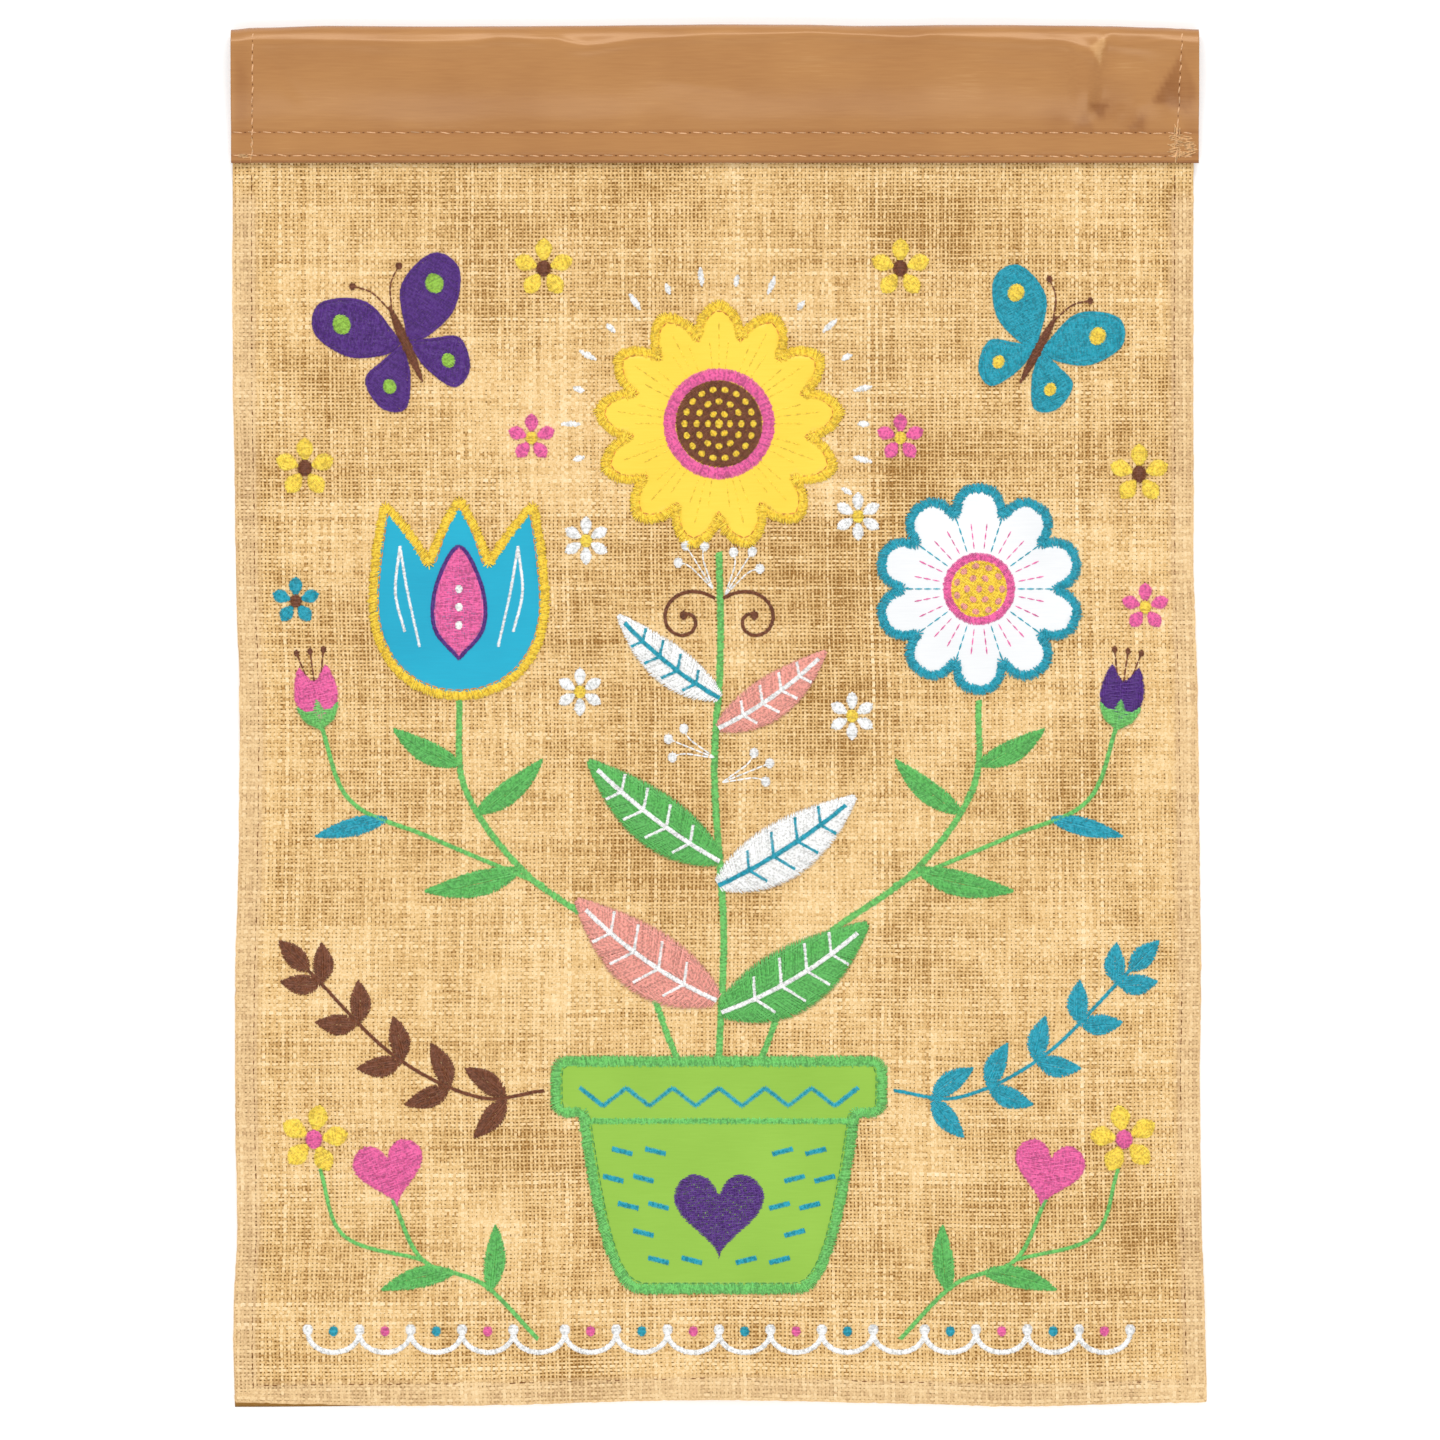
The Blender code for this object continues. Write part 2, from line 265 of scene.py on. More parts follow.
def inside(outline, x, y):
    """Which points lie inside a closed outline."""
    found = np.zeros(np.shape(x), bool)
    after = np.roll(outline, -1, axis=0)
    for (x0, y0), (x1, y1) in zip(outline, after):
        if y0 == y1:
            continue
        crosses = (y0 > y) != (y1 > y)
        found ^= crosses & (x < x0 + (y - y0) / (y1 - y0) * (x1 - x0))
    return found


def shrunk(outline, by):
    """An outline drawn in towards its middle by about that much."""
    middle = outline.mean(0)
    reach = np.hypot(*(outline - middle).T)
    return middle + (outline - middle) * (1.0 - by / reach)[:, None]


# The cloth's shape
def ground(x, y):
    """How far the panel's underside stands off the surface."""
    height = (CAD_CLOTH + GAP) * smooth((y - RISE_START) / (RISE_END - RISE_START))
    for lift_x, lift_y, reach, top in LIFT_ROWS:
        distance = np.hypot(x - lift_x, y - lift_y) / reach
        height = height + top * smooth(1.0 - distance)
    return height


def on_sheet(u, v):
    """Where a place on the even sheet lies once its edges waver."""
    share_up = (v - SHEET_LOW) / (RISE_START - SHEET_LOW)
    follow = np.clip(1.0 - 2.0 * share_up, 0.0, 1.0)
    y = v + follow * (bottom_edge(u) - SHEET_LOW)
    share = (u - SHEET_LEFT) / (SHEET_RIGHT - SHEET_LEFT)
    x = left_edge(y) + share * (right_edge(y) - left_edge(y))
    return x, y + peek(u, v)


def peek(u, v):
    """How far the front of the bottom hem is drawn back from its back layer."""
    along = smooth(1.0 - np.abs(u - PEEK_X) / PEEK_HALF)
    return PEEK_REACH * along * smooth(1.0 - (v - SHEET_LOW) / HEM_WIDTH)


def edge_distance(u, v):
    """The distance to the nearest hemmed edge of the even sheet."""
    return np.minimum(np.minimum(u - SHEET_LEFT, SHEET_RIGHT - u), v - SHEET_LOW)


def hem_share(u, v):
    """1 in the hems, 0 inside them."""
    pressed = smooth((v - PRESSED_FROM) / (PRESSED_TO - PRESSED_FROM))
    distance = edge_distance(u, v)
    return (1.0 - smooth((distance - HEM_WIDTH) / HEM_STEP)) * (1.0 - pressed)


def sheet_top(u, v):
    """The height of the woven face's middle over the panel's underside."""
    distance = edge_distance(u, v)
    height = SHEET_TOP + HEM_RISE * hem_share(u, v)
    dimple = np.exp(-(((distance - HEM_STITCH_INSET) / HEM_DIMPLE_HALF) ** 2))
    height = height - HEM_STITCH_DIMPLE * dimple * hem_share(u, v)
    roundness = np.sqrt(1.0 - (1.0 - np.clip(distance / EDGE_ROUND, 0.0, 1.0)) ** 2)
    share = EDGE_LEAST + (1.0 - EDGE_LEAST) * roundness
    return SHEET_BOTTOM + (height - SHEET_BOTTOM) * share


# Materials
def new_material(name, roughness, specular, sheen=0.0, sheen_roughness=0.5):
    """A material with its node tree and its shader."""
    made = bpy.data.materials.new(name)
    made.use_nodes = True
    tree = made.node_tree
    shader = tree.nodes["Principled BSDF"]
    shader.inputs["Roughness"].default_value = roughness
    shader.inputs["Specular IOR Level"].default_value = specular
    shader.inputs["Sheen Weight"].default_value = sheen
    shader.inputs["Sheen Roughness"].default_value = sheen_roughness
    return made, tree, shader


def add_node(tree, kind, links=(), **values):
    """One node: links pair each input with a value or a socket, and values are its settings."""
    made = tree.nodes.new(kind)
    for name, value in values.items():
        setattr(made, name, value)
    for target, source in links:
        if isinstance(source, bpy.types.NodeSocket):
            tree.links.new(source, made.inputs[target])
        else:
            made.inputs[target].default_value = source
    return made


def noise_node(tree, scale, detail, stretch=(1.0, 1.0, 1.0)):
    """A noise's value in object space, with a size of its own along each axis."""
    place = add_node(tree, "ShaderNodeTexCoord").outputs["Object"]
    mapping = add_node(tree, "ShaderNodeMapping", [("Vector", place), ("Scale", stretch)])
    links = [("Vector", mapping.outputs["Vector"]), ("Scale", scale), ("Detail", detail)]
    return add_node(tree, "ShaderNodeTexNoise", links).outputs["Fac"]


def attribute_node(tree, name):
    """The value that a mesh carries at each vertex under that name."""
    return add_node(tree, "ShaderNodeAttribute", attribute_name=name).outputs["Fac"]


def math_node(tree, operation, first, second):
    """The result of one operation on two values or sockets."""
    made = add_node(tree, "ShaderNodeMath", [(0, first), (1, second)], operation=operation)
    return made.outputs["Value"]


def add_share(tree, value, other, share):
    """A value plus a share of another."""
    return math_node(tree, "ADD", value, math_node(tree, "MULTIPLY", other, share))


def ramp_node(tree, value, stops):
    """A colour ramp of stops, each a place and a linear colour."""
    made = add_node(tree, "ShaderNodeValToRGB", [("Fac", value)])
    elements = made.color_ramp.elements
    while len(elements) < len(stops):
        elements.new(0.5)
    for element, (place, colour) in zip(elements, stops):
        element.position = place
        element.color = (*colour, 1.0)
    return made.outputs["Color"]


def bump_node(tree, shader, height, strength, distance):
    """Small relief from a height, its distance in millimetres."""
    links = [("Height", height), ("Strength", strength), ("Distance", distance * MM)]
    made = add_node(tree, "ShaderNodeBump", links)
    tree.links.new(made.outputs["Normal"], shader.inputs["Normal"])


def linear(colour):
    """A colour in screen values of 0 to 255 as the shader's linear values (the sRGB curve)."""
    values = np.array(colour) / 255.0
    low = values / 12.92
    high = ((values + 0.055) / 1.055) ** 2.4
    return tuple(float(x) for x in np.where(values <= 0.04045, low, high))


def screen_stops(stops):
    """Ramp stops with their screen colours made linear."""
    return [(place, linear(colour)) for place, colour in stops]


# Surfaces: roughness, specular level, sheen weight and sheen roughness where they are set
YARN_SURFACE = (0.82, 0.25, 0.05)
BACKING_SURFACE = (0.9, 0.2)
SATIN_SURFACE = (0.5, 0.12, 0.35)
THREAD_SURFACE = (0.38, 0.5, 0.1)
DULL_SURFACE = (0.9, 0.1, 0.0)
PATCH_THREADS = 2300.0
PATCH_ROUGHNESS = 0.34

# Colours and colour ramps in screen values
YARN_RAMP = (
    (0.0, (178, 130, 68)),
    (0.35, (230, 190, 128)),
    (0.62, (246, 214, 161)),
    (1.0, (255, 237, 200)),
)
# The backing's tan, darkened as painted shade where it shows between the yarns
BACKING_AND_GAP_SHADE_RAMP = ((0.0, (148, 102, 44)), (0.4, (190, 144, 78)), (1.0, (232, 198, 142)))
SLEEVE_COLOURS = ((183, 131, 80), (163, 111, 66))
SLEEVE_THREADS = 1900.0
SLEEVE_ROUGHNESS = 0.27
# Painted shade and painted highlight that the sleeve's tone adds to its satin
PAINTED_CREASE_SHADE = (146, 94, 52)
PAINTED_CREASE_HIGHLIGHT = (208, 160, 108)
SHINE_TINT = (255, 226, 196)
HEM_PALE = (240, 216, 182)
HEM_FADING = 0.27

# Noise sizes: how many cells there are in a metre
YARN_BLOTCH = 42.0
YARN_STREAK = 1700.0
YARN_GRAIN = 1500.0
BACKING_GRAIN = 700.0
SATIN_CLOUD = 26.0
THREAD_GRAIN = 1300.0
THREAD_TWIST = 4000.0
THREAD_SPECKLE = 3.4
STREAK_LENGTHS = {"warp": (1.0, 0.10, 1.0), "weft": (0.10, 1.0, 1.0)}
SATIN_LENGTHS = (0.06, 1.0, 1.0)

# How much of each noise goes into a tone, and what the yarn's noises add on average
BLOTCH_SHARE = 0.22
STREAK_SHARE = 0.50
GRAIN_SHARE = 0.7
NOISE_LEVEL = 0.72
BACKING_SHARE = 0.25
CLOUD_SHARE = 0.7
SATIN_THREAD_SHARE = 0.3

# A thread's darkest and lightest tone as shares of its colour, and where its colour lies
THREAD_DARK = 0.68
THREAD_LIGHT = 1.12
THREAD_LIFT = 0.02
THREAD_MIDDLE = 0.55


def yarn_material(yarns):
    """Burlap yarn: slubby tan, its tone from each yarn and from soft blotches, with fibres."""
    made, tree, shader = new_material("burlap_" + yarns, *YARN_SURFACE)
    streak = noise_node(tree, YARN_STREAK, 3.0, STREAK_LENGTHS[yarns])
    blotch = noise_node(tree, YARN_BLOTCH, 3.0)
    value = add_share(tree, attribute_node(tree, "tone"), blotch, BLOTCH_SHARE)
    value = add_share(tree, value, streak, STREAK_SHARE)
    value = add_share(tree, value, noise_node(tree, YARN_GRAIN, 1.0), GRAIN_SHARE)
    value = math_node(tree, "SUBTRACT", value, NOISE_LEVEL)
    colour = ramp_node(tree, value, screen_stops(YARN_RAMP))
    faded = math_node(tree, "MULTIPLY", attribute_node(tree, "pale"), HEM_FADING)
    links = [(0, faded), (6, colour), (7, (*linear(HEM_PALE), 1.0))]
    mixed = add_node(tree, "ShaderNodeMix", links, data_type="RGBA")
    tree.links.new(mixed.outputs[2], shader.inputs["Base Color"])
    bump_node(tree, shader, streak, 0.6, 0.12)
    return made


def backing_gap_shade_material():
    """What shows between the yarns: tan darkened as painted shade of the gaps, paler where a hem
    doubles the cloth.
    """
    made, tree, shader = new_material("burlap_backing_gap_shade", *BACKING_SURFACE)
    grain = noise_node(tree, BACKING_GRAIN, 2.0)
    value = add_share(tree, attribute_node(tree, "tone"), grain, BACKING_SHARE)
    colour = ramp_node(tree, value, screen_stops(BACKING_AND_GAP_SHADE_RAMP))
    tree.links.new(colour, shader.inputs["Base Color"])
    bump_node(tree, shader, grain, 0.5, 0.2)
    return made


def satin_material(name, colour, shade, thread, roughness, painted_shading=False):
    """Satin: a smooth sheen with fine threads one way and soft uneven tone; with painted shading, the
    mesh's tone adds painted shade and painted highlight.
    """
    made, tree, shader = new_material(name, roughness, *SATIN_SURFACE)
    shader.inputs["Specular Tint"].default_value = (*linear(SHINE_TINT), 1.0)
    threads = noise_node(tree, thread, 1.0, SATIN_LENGTHS)
    value = math_node(tree, "MULTIPLY", noise_node(tree, SATIN_CLOUD, 2.0), CLOUD_SHARE)
    value = add_share(tree, value, threads, SATIN_THREAD_SHARE)
    stops = [(0.25, shade), (0.7, colour)]
    if painted_shading:
        # The mesh's tone adds painted shade and painted highlight
        value = math_node(tree, "ADD", value, attribute_node(tree, "tone"))
        stops = [(0.0, PAINTED_CREASE_SHADE), *stops, (1.0, PAINTED_CREASE_HIGHLIGHT)]
    mixed = ramp_node(tree, value, screen_stops(stops))
    tree.links.new(mixed, shader.inputs["Base Color"])
    bump_node(tree, shader, threads, 0.2, 0.04)
    return made


def thread_material(name, colour, shiny=True):
    """Embroidery thread, each stitch a little lighter or darker than the next."""
    made, tree, shader = new_material(name, *(THREAD_SURFACE if shiny else DULL_SURFACE))
    base = np.array(linear(colour))
    dark = tuple(base * THREAD_DARK)
    light = tuple(np.minimum(1.0, base * THREAD_LIGHT + THREAD_LIFT))
    speckle = noise_node(tree, THREAD_GRAIN, 1.0)
    value = add_share(tree, attribute_node(tree, "tone"), speckle, THREAD_SPECKLE)
    value = math_node(tree, "SUBTRACT", value, 0.5 * THREAD_SPECKLE)
    mixed = ramp_node(tree, value, ((0.0, dark), (THREAD_MIDDLE, tuple(base)), (1.0, light)))
    tree.links.new(mixed, shader.inputs["Base Color"])
    bump_node(tree, shader, noise_node(tree, THREAD_TWIST, 1.0), 0.3, 0.05)
    return made


# The burlap panel
SHEET_INSETS = (0.0, 0.15, 0.45, 0.9, 5.2, 6.2, 7.0, 8.0, 9.0)
SHEET_STEP = 4.5
BACKING_DROP = 0.10
BACKING_HEM_TONE = 0.6


def spaced(low, high):
    """Even places between two ends of the sheet, with closer ones near each end."""
    places = [low + inset for inset in SHEET_INSETS] + [high - inset for inset in SHEET_INSETS]
    first, last = low + max(SHEET_INSETS), high - max(SHEET_INSETS)
    places += list(np.linspace(first, last, int((last - first) / SHEET_STEP) + 1)[1:-1])
    return np.array(sorted(places))


def build_sheet(finish):
    """The thin cloth under the yarns, one closed sheet with thicker round-edged hems, its dark tan
    painted shade in the gaps.
    """
    rows, columns = spaced(SHEET_LOW, SHEET_HIGH), spaced(SHEET_LEFT, SHEET_RIGHT)
    v, u = np.meshgrid(rows, columns, indexing="ij")
    x, y = on_sheet(u, v)
    base = ground(x, y)
    top = base + sheet_top(u, v) - BACKING_DROP
    bottom = base + SHEET_BOTTOM * (1.0 - 0.35 * np.exp(-edge_distance(u, v) / 0.3))
    upper = np.stack([x, y, top], axis=-1).reshape(-1, 3)
    drawn = peek(u, v)
    lower = np.stack([x, y - drawn, bottom], axis=-1).reshape(-1, 3)
    count = len(upper)
    index = np.arange(count).reshape(v.shape)
    top_faces = grid_faces(*v.shape)
    bottom_faces = grid_faces(*v.shape, count)[:, ::-1]
    rim = [index[0], index[1:, -1], index[-1, -2::-1], index[-2:0:-1, 0]]
    rim = np.concatenate(rim)
    after = np.roll(rim, -1)
    walls = np.stack([rim + count, after + count, after, rim], axis=-1)
    shadow = smooth(drawn * 4.0)
    tone = hem_share(u, v) * BACKING_HEM_TONE * (1.0 - shadow * (v < SHEET_LOW + 0.5))
    tone = np.concatenate([tone.ravel(), (tone * (1.0 - shadow)).ravel()])
    vertices = np.concatenate([upper, lower])
    return mesh_object("burlap_sheet", vertices, [top_faces, bottom_faces, walls], finish, tone)


def build_ribbons(name, finish, across, points, half, tone, pale, keep):
    """Yarns as ridged ribbons, from their points, half widths, tones and kept stretches."""
    yarns, places = half.shape
    side = np.zeros(3)
    side[across] = 1.0
    shift = half[..., None] * side
    crown = np.array([0.0, 0.0, YARN_CROWN])
    lines = np.stack([points - shift, points + crown, points + shift], axis=2)
    index = np.arange(yarns * places).reshape(yarns, places) * 3
    first = index[:, :-1][keep]
    second = index[:, 1:][keep]
    faces = []
    for line in (0, 1):
        corners = [first + line, first + line + 1, second + line + 1, second + line]
        faces.append(np.stack(corners, axis=-1))
    faces = np.concatenate(faces)
    if across == 1:
        faces = faces[:, ::-1]
    tones, pales = np.repeat(tone.ravel(), 3), np.repeat(pale.ravel(), 3)
    return mesh_object(name, lines.reshape(-1, 3), [faces], finish, tones, pales)


def weave_grid(random):
    """Where warp and weft cross on the even sheet, each yarn wavering a little."""
    wide = SHEET_RIGHT - SHEET_LEFT - 2 * YARN_INSET
    high = SLEEVE_LOWER_EDGE + WEAVE_UNDER_SLEEVE - SHEET_LOW - 2 * YARN_INSET
    warps = int(wide / YARN_PITCH) + 1
    wefts = int(high / YARN_PITCH) + 1
    u = SHEET_LEFT + YARN_INSET + np.arange(warps) * wide / (warps - 1)
    v = SHEET_LOW + YARN_INSET + np.arange(wefts) * YARN_PITCH
    u_places = u[:, None] + YARN_WANDER * soft_noise(random, warps, wefts, WANDER_REACH)
    v_places = v[None, :] + YARN_WANDER * soft_noise(random, wefts, warps, WANDER_REACH).T
    u_places = u_places + YARN_SHAKE * random.normal(size=(warps, wefts))
    v_places = v_places + YARN_SHAKE * random.normal(size=(warps, wefts))
    u_places = np.clip(u_places, SHEET_LEFT + LEAST_INSET, SHEET_RIGHT - LEAST_INSET)
    v_places = np.maximum(v_places, SHEET_LOW + LEAST_INSET)
    return u_places, v_places


def yarn_character(random, yarns, places, middle, openness, pressed):
    """Half widths and tones of yarns, with slubs, thinner where the cloth is more open."""
    slub = soft_noise(random, yarns, places, SLUB_REACH)
    own = random.normal(size=(yarns, 1))
    fine = soft_noise(random, yarns, places, FINE_REACH)
    width, tone = 1.0, YARN_TONE
    changes = (slub, own, fine, openness, pressed)
    for width_share, tone_share, change in zip(WIDTH_SHARES, TONE_SHARES, changes):
        width = width + width_share * change
        tone = tone + tone_share * change
    return np.clip(middle * width, YARN_THINNEST, YARN_THICKEST), np.clip(tone, 0.0, 1.0)


def hidden_under_patches(x, y):
    """Which places lie under a patch, well inside its edge."""
    hidden = np.zeros(x.shape, bool)
    for outline in patch_outlines.values():
        hidden |= inside(shrunk(outline, PATCH_HIDES_FROM), x, y)
    return hidden


def build_weave(random):
    """All yarns of the panel's face, in four pieces."""
    u, v = weave_grid(random)
    warps, wefts = u.shape
    x, y = on_sheet(u, v)
    base = ground(x, y) + sheet_top(u, v) + YARN_LEVEL
    over = np.where((np.arange(warps)[:, None] + np.arange(wefts)[None, :]) % 2, 1.0, -1.0)
    hidden = hidden_under_patches(x, y)
    openness = soft_field(random, warps, wefts, OPEN_PATCHES)
    openness = openness + 0.5 * soft_field(random, warps, wefts, OPEN_PATCHES / 4)
    pressed = hem_share(u, v)
    flatten = 1.0 - HEM_FLATTENS * pressed
    openness = openness * (1.0 - 0.5 * pressed) - 0.6 * pressed
    warp = yarn_character(random, warps, wefts, WARP_HALF, openness, pressed)
    weft = yarn_character(random, wefts, warps, WEFT_HALF, openness.T, pressed.T)
    swing = over * YARN_SWING * flatten
    warp_points = np.stack([x, y, base + swing], axis=-1)
    weft_points = np.stack([x, y, base - swing], axis=-1).transpose(1, 0, 2)
    warp_keep = ~(hidden[:, :-1] & hidden[:, 1:])
    weft_keep = ~(hidden[:-1] & hidden[1:]).T
    kinds = (
        ("warp", ("left", "right"), (warp_points, *warp, pressed, warp_keep)),
        ("weft", ("lower", "upper"), (weft_points, *weft, pressed.T, weft_keep)),
    )
    made = []
    for across, (yarns, halves, fields) in enumerate(kinds):
        finish = yarn_material(yarns)
        middle = len(fields[0]) // 2
        for half, part in zip(halves, (slice(0, middle), slice(middle, None))):
            name = f"burlap_{yarns}_{half}"
            taken = [field[part] for field in fields]
            made.append(build_ribbons(name, finish, across, *taken))
    return made


# Thread
sewn = {}
stitch_random = np.random.default_rng(SEED + 1)


def sew(colour, starts, ends, rise=0.34, radius=THREAD_RADIUS, layer=0.0):
    """Adds stitches between two lists of places, in one thread colour."""
    starts = np.asarray(starts, float).reshape(-1, 2)
    ends = np.asarray(ends, float).reshape(-1, 2)
    extra = np.tile([rise, radius, layer], (len(starts), 1))
    sewn.setdefault(colour, []).append(np.concatenate([starts, ends, extra], axis=1))


def face_height(x, y):
    """The height of the cloth's face, patches included."""
    height = ground(x, y) + FACE_OVER_GROUND
    distance = np.minimum(np.minimum(x - left_edge(y), right_edge(y) - x), y - bottom_edge(x))
    height = height + HEM_RISE * (1.0 - smooth((distance - HEM_WIDTH) / HEM_STEP))
    on_patch = np.zeros(np.shape(x), bool)
    for outline in patch_outlines.values():
        on_patch |= inside(outline, x, y)
    return np.where(on_patch, np.maximum(height, PATCH_LEVEL + PATCH_CLOTH), height)


# Along a stitch: how far, how high of its rise, and how thick of its radius
STITCH_ROWS = ((0.10, 0.55, 0.85), (0.5, 1.0, 1.0), (0.90, 0.55, 0.85))
STITCH_SIDES = 3
STITCH_UNDERSIDE = 1
STITCH_SINK = 0.2
STITCH_FLATNESS = 0.8
THREAD_TONE = 0.55
RISE_LEAST = 0.7
RISE_BY_LENGTH = 0.06
LONGEST_RISE = 8.0
THREAD_TONE_SPREAD = 0.22

# How far a stitch's shading leans up its sides and out at its ends
ROUND_SHADE = 0.32
ROUND_ENDS = 0.45
TIP_LEAN = 0.7


def spindles(name, start, end, rise, radius, finish, random):
    """Stitches between two lists of places in space, as one mesh of small spindles."""
    count = len(start)
    length = np.maximum(np.hypot(*(end - start)[:, :2].T), 0.01)
    forward = (end - start) / length[:, None]
    side = np.stack([-forward[:, 1], forward[:, 0], np.zeros(count)], axis=-1)
    up = np.array([0.0, 0.0, 1.0])
    rings = []
    normals = [up * TIP_LEAN - forward * TIP_LEAN]
    for along, height, thickness in STITCH_ROWS:
        middle = start + (end - start) * along
        middle[:, 2] += rise * height
        for turn in range(STITCH_SIDES):
            angle = math.pi / 2 + 2 * math.pi * turn / STITCH_SIDES
            around = side * math.cos(angle) + up * (STITCH_FLATNESS * math.sin(angle))
            rings.append(middle + around * (radius * thickness)[:, None])
            tilt = forward * (along - 0.5) * ROUND_ENDS
            normals.append(side * math.cos(angle) + up * ROUND_SHADE + tilt)
    normals.append(up * TIP_LEAN + forward * TIP_LEAN)
    vertices = np.stack([start, *rings, end], axis=1)
    normals = np.stack(normals, axis=1).reshape(-1, 3)
    normals = normals / np.linalg.norm(normals, axis=1)[:, None]
    per_stitch = vertices.shape[1]
    quads = []
    shown = [turn for turn in range(STITCH_SIDES) if turn != STITCH_UNDERSIDE]
    for ring in range(len(STITCH_ROWS) - 1):
        for turn in shown:
            after = (turn + 1) % STITCH_SIDES
            low = 1 + ring * STITCH_SIDES
            high = low + STITCH_SIDES
            quads.append((low + turn, low + after, high + after, high + turn))
    triangles = []
    last = 1 + (len(STITCH_ROWS) - 1) * STITCH_SIDES
    for turn in shown:
        after = (turn + 1) % STITCH_SIDES
        triangles.append((0, 1 + after, 1 + turn))
        triangles.append((per_stitch - 1, last + turn, last + after))
    offsets = (np.arange(count) * per_stitch)[:, None, None]
    quads = (np.array(quads)[None] + offsets).reshape(-1, 4)
    triangles = (np.array(triangles)[None] + offsets).reshape(-1, 3)
    tone = np.clip(random.normal(THREAD_TONE, THREAD_TONE_SPREAD, count), 0, 1)
    tone = np.repeat(tone, per_stitch)
    made = mesh_object(name, vertices.reshape(-1, 3), [triangles, quads], finish, tone)
    made.data.normals_split_custom_set_from_vertices(normals.tolist())
    return made


def build_stitches(name, stitches, finish, random):
    """All embroidery of one thread colour, lying on the cloth's face."""
    x0, y0, x1, y1, rise, radius, layer = stitches.T
    length = np.hypot(x1 - x0, y1 - y0)
    arched = RISE_LEAST + RISE_BY_LENGTH * np.minimum(length, LONGEST_RISE)
    rise = rise * arched * random.uniform(0.85, 1.15, len(rise))
    radius = radius * random.uniform(0.88, 1.12, len(radius))
    start = np.stack([x0, y0, face_height(x0, y0) + layer - STITCH_SINK], axis=-1)
    end = np.stack([x1, y1, face_height(x1, y1) + layer - STITCH_SINK], axis=-1)
    return spindles(name, start, end, rise + STITCH_SINK, radius, finish, random)


def resample(points, spacing):
    """A line's points at even spacing, and each one's share of the whole way."""
    points = np.asarray(points, float)
    along = np.concatenate([[0.0], np.cumsum(np.hypot(*np.diff(points, axis=0).T))])
    count = max(2, int(round(along[-1] / spacing)) + 1)
    places = np.linspace(0.0, along[-1], count)
    line = np.stack([np.interp(places, along, points[:, axis]) for axis in (0, 1)], axis=1)
    return line, places / along[-1]


def directions(line, closed=False):
    """Unit directions along a line and across it."""
    if closed:
        along = np.roll(line, -2, axis=0) - np.roll(line, 2, axis=0)
    else:
        along = np.gradient(line, axis=0)
    along = along / np.maximum(np.hypot(*along.T), 1e-9)[:, None]
    return along, np.stack([-along[:, 1], along[:, 0]], axis=1)


def flow(points, steps=14):
    """A smooth line through points (Catmull-Rom)."""
    points = np.asarray(points, float)
    padded = np.concatenate([[2 * points[0] - points[1]], points, [2 * points[-1] - points[-2]]])
    t = np.linspace(0.0, 1.0, steps, endpoint=False)[:, None]
    made = []
    for p0, p1, p2, p3 in zip(padded, padded[1:], padded[2:], padded[3:]):
        square = 2 * p0 - 5 * p1 + 4 * p2 - p3
        cube = 3 * p1 - p0 - 3 * p2 + p3
        made.append(0.5 * (2 * p1 + (p2 - p0) * t + square * t**2 + cube * t**3))
    return np.concatenate([*made, points[-1:]])


def satin(colour, line, width, closed=False, layer=0.0, slant=0.25, rise=0.34, ragged=0.12):
    """Satin stitch along a line: close threads lying across it. Width may change by a function."""
    if closed:
        line = np.concatenate([line, line[:1]])
    line, share = resample(line, STITCH_PITCH)
    if closed:
        line, share = line[:-1], share[:-1]
    along, across = directions(line, closed)
    half = (width(share) if callable(width) else np.full(len(line), width)) / 2
    tips = stitch_random.normal(0.0, ragged, (2, len(line)))
    starts = line + across * (half + tips[0])[:, None] - along * slant
    ends = line - across * (half + tips[1])[:, None] + along * slant
    sew(colour, starts, ends, rise, layer=layer)


def running(colour, line, length=3.0, layer=0.0, radius=0.32, gap=0.0, rise=0.22):
    """Running stitch along a line, end to end or with gaps."""
    line, _ = resample(line, length)
    along, _ = directions(line)
    sew(colour, line[:-1] + along[:-1] * gap / 2, line[1:] - along[1:] * gap / 2, rise, radius, layer)


def turned(points, angle, centre=(0.0, 0.0), size=1.0):
    """Points scaled, turned by degrees and moved."""
    turn = math.radians(angle)
    matrix = np.array([[math.cos(turn), -math.sin(turn)], [math.sin(turn), math.cos(turn)]])
    return np.asarray(points, float) @ matrix.T * size + np.asarray(centre, float)


def fill_rows(outline, angle, pitch, longest, overlap):
    """Rows of stitches across a closed outline at an angle, long rows split like bricks."""
    flat = turned(outline, -angle)
    after = np.roll(flat, -1, axis=0)
    starts, ends = [], []
    levels = np.arange(flat[:, 1].min() + pitch / 2, flat[:, 1].max(), pitch)
    for row, level in enumerate(levels):
        crosses = (flat[:, 1] > level) != (after[:, 1] > level)
        low, high = flat[crosses], after[crosses]
        share = (level - low[:, 1]) / (high[:, 1] - low[:, 1])
        places = np.sort(low[:, 0] + share * (high[:, 0] - low[:, 0]))
        for left, right in zip(places[::2], places[1::2]):
            count = max(1, math.ceil((right - left) / longest))
            cuts = np.linspace(left, right, count + 1)
            cuts[1:-1] += (row * 2 % 5 - 2) * (right - left) / count / 5.5
            for number, (first, last) in enumerate(zip(cuts, cuts[1:])):
                starts.append((first - (overlap if number else 0.0), level))
                ends.append((last + (overlap if number < count - 1 else 0.0), level))
    return np.array(starts).reshape(-1, 2), np.array(ends).reshape(-1, 2)


def lay_under(colour, outline, angle, layer):
    """Flat wide threads that hide the cloth under a filled shape."""
    starts, ends = fill_rows(outline, angle, UNDERLAY_PITCH, 9.0, 0.5)
    sew(colour, turned(starts, angle), turned(ends, angle), 0.12, 0.46, layer)


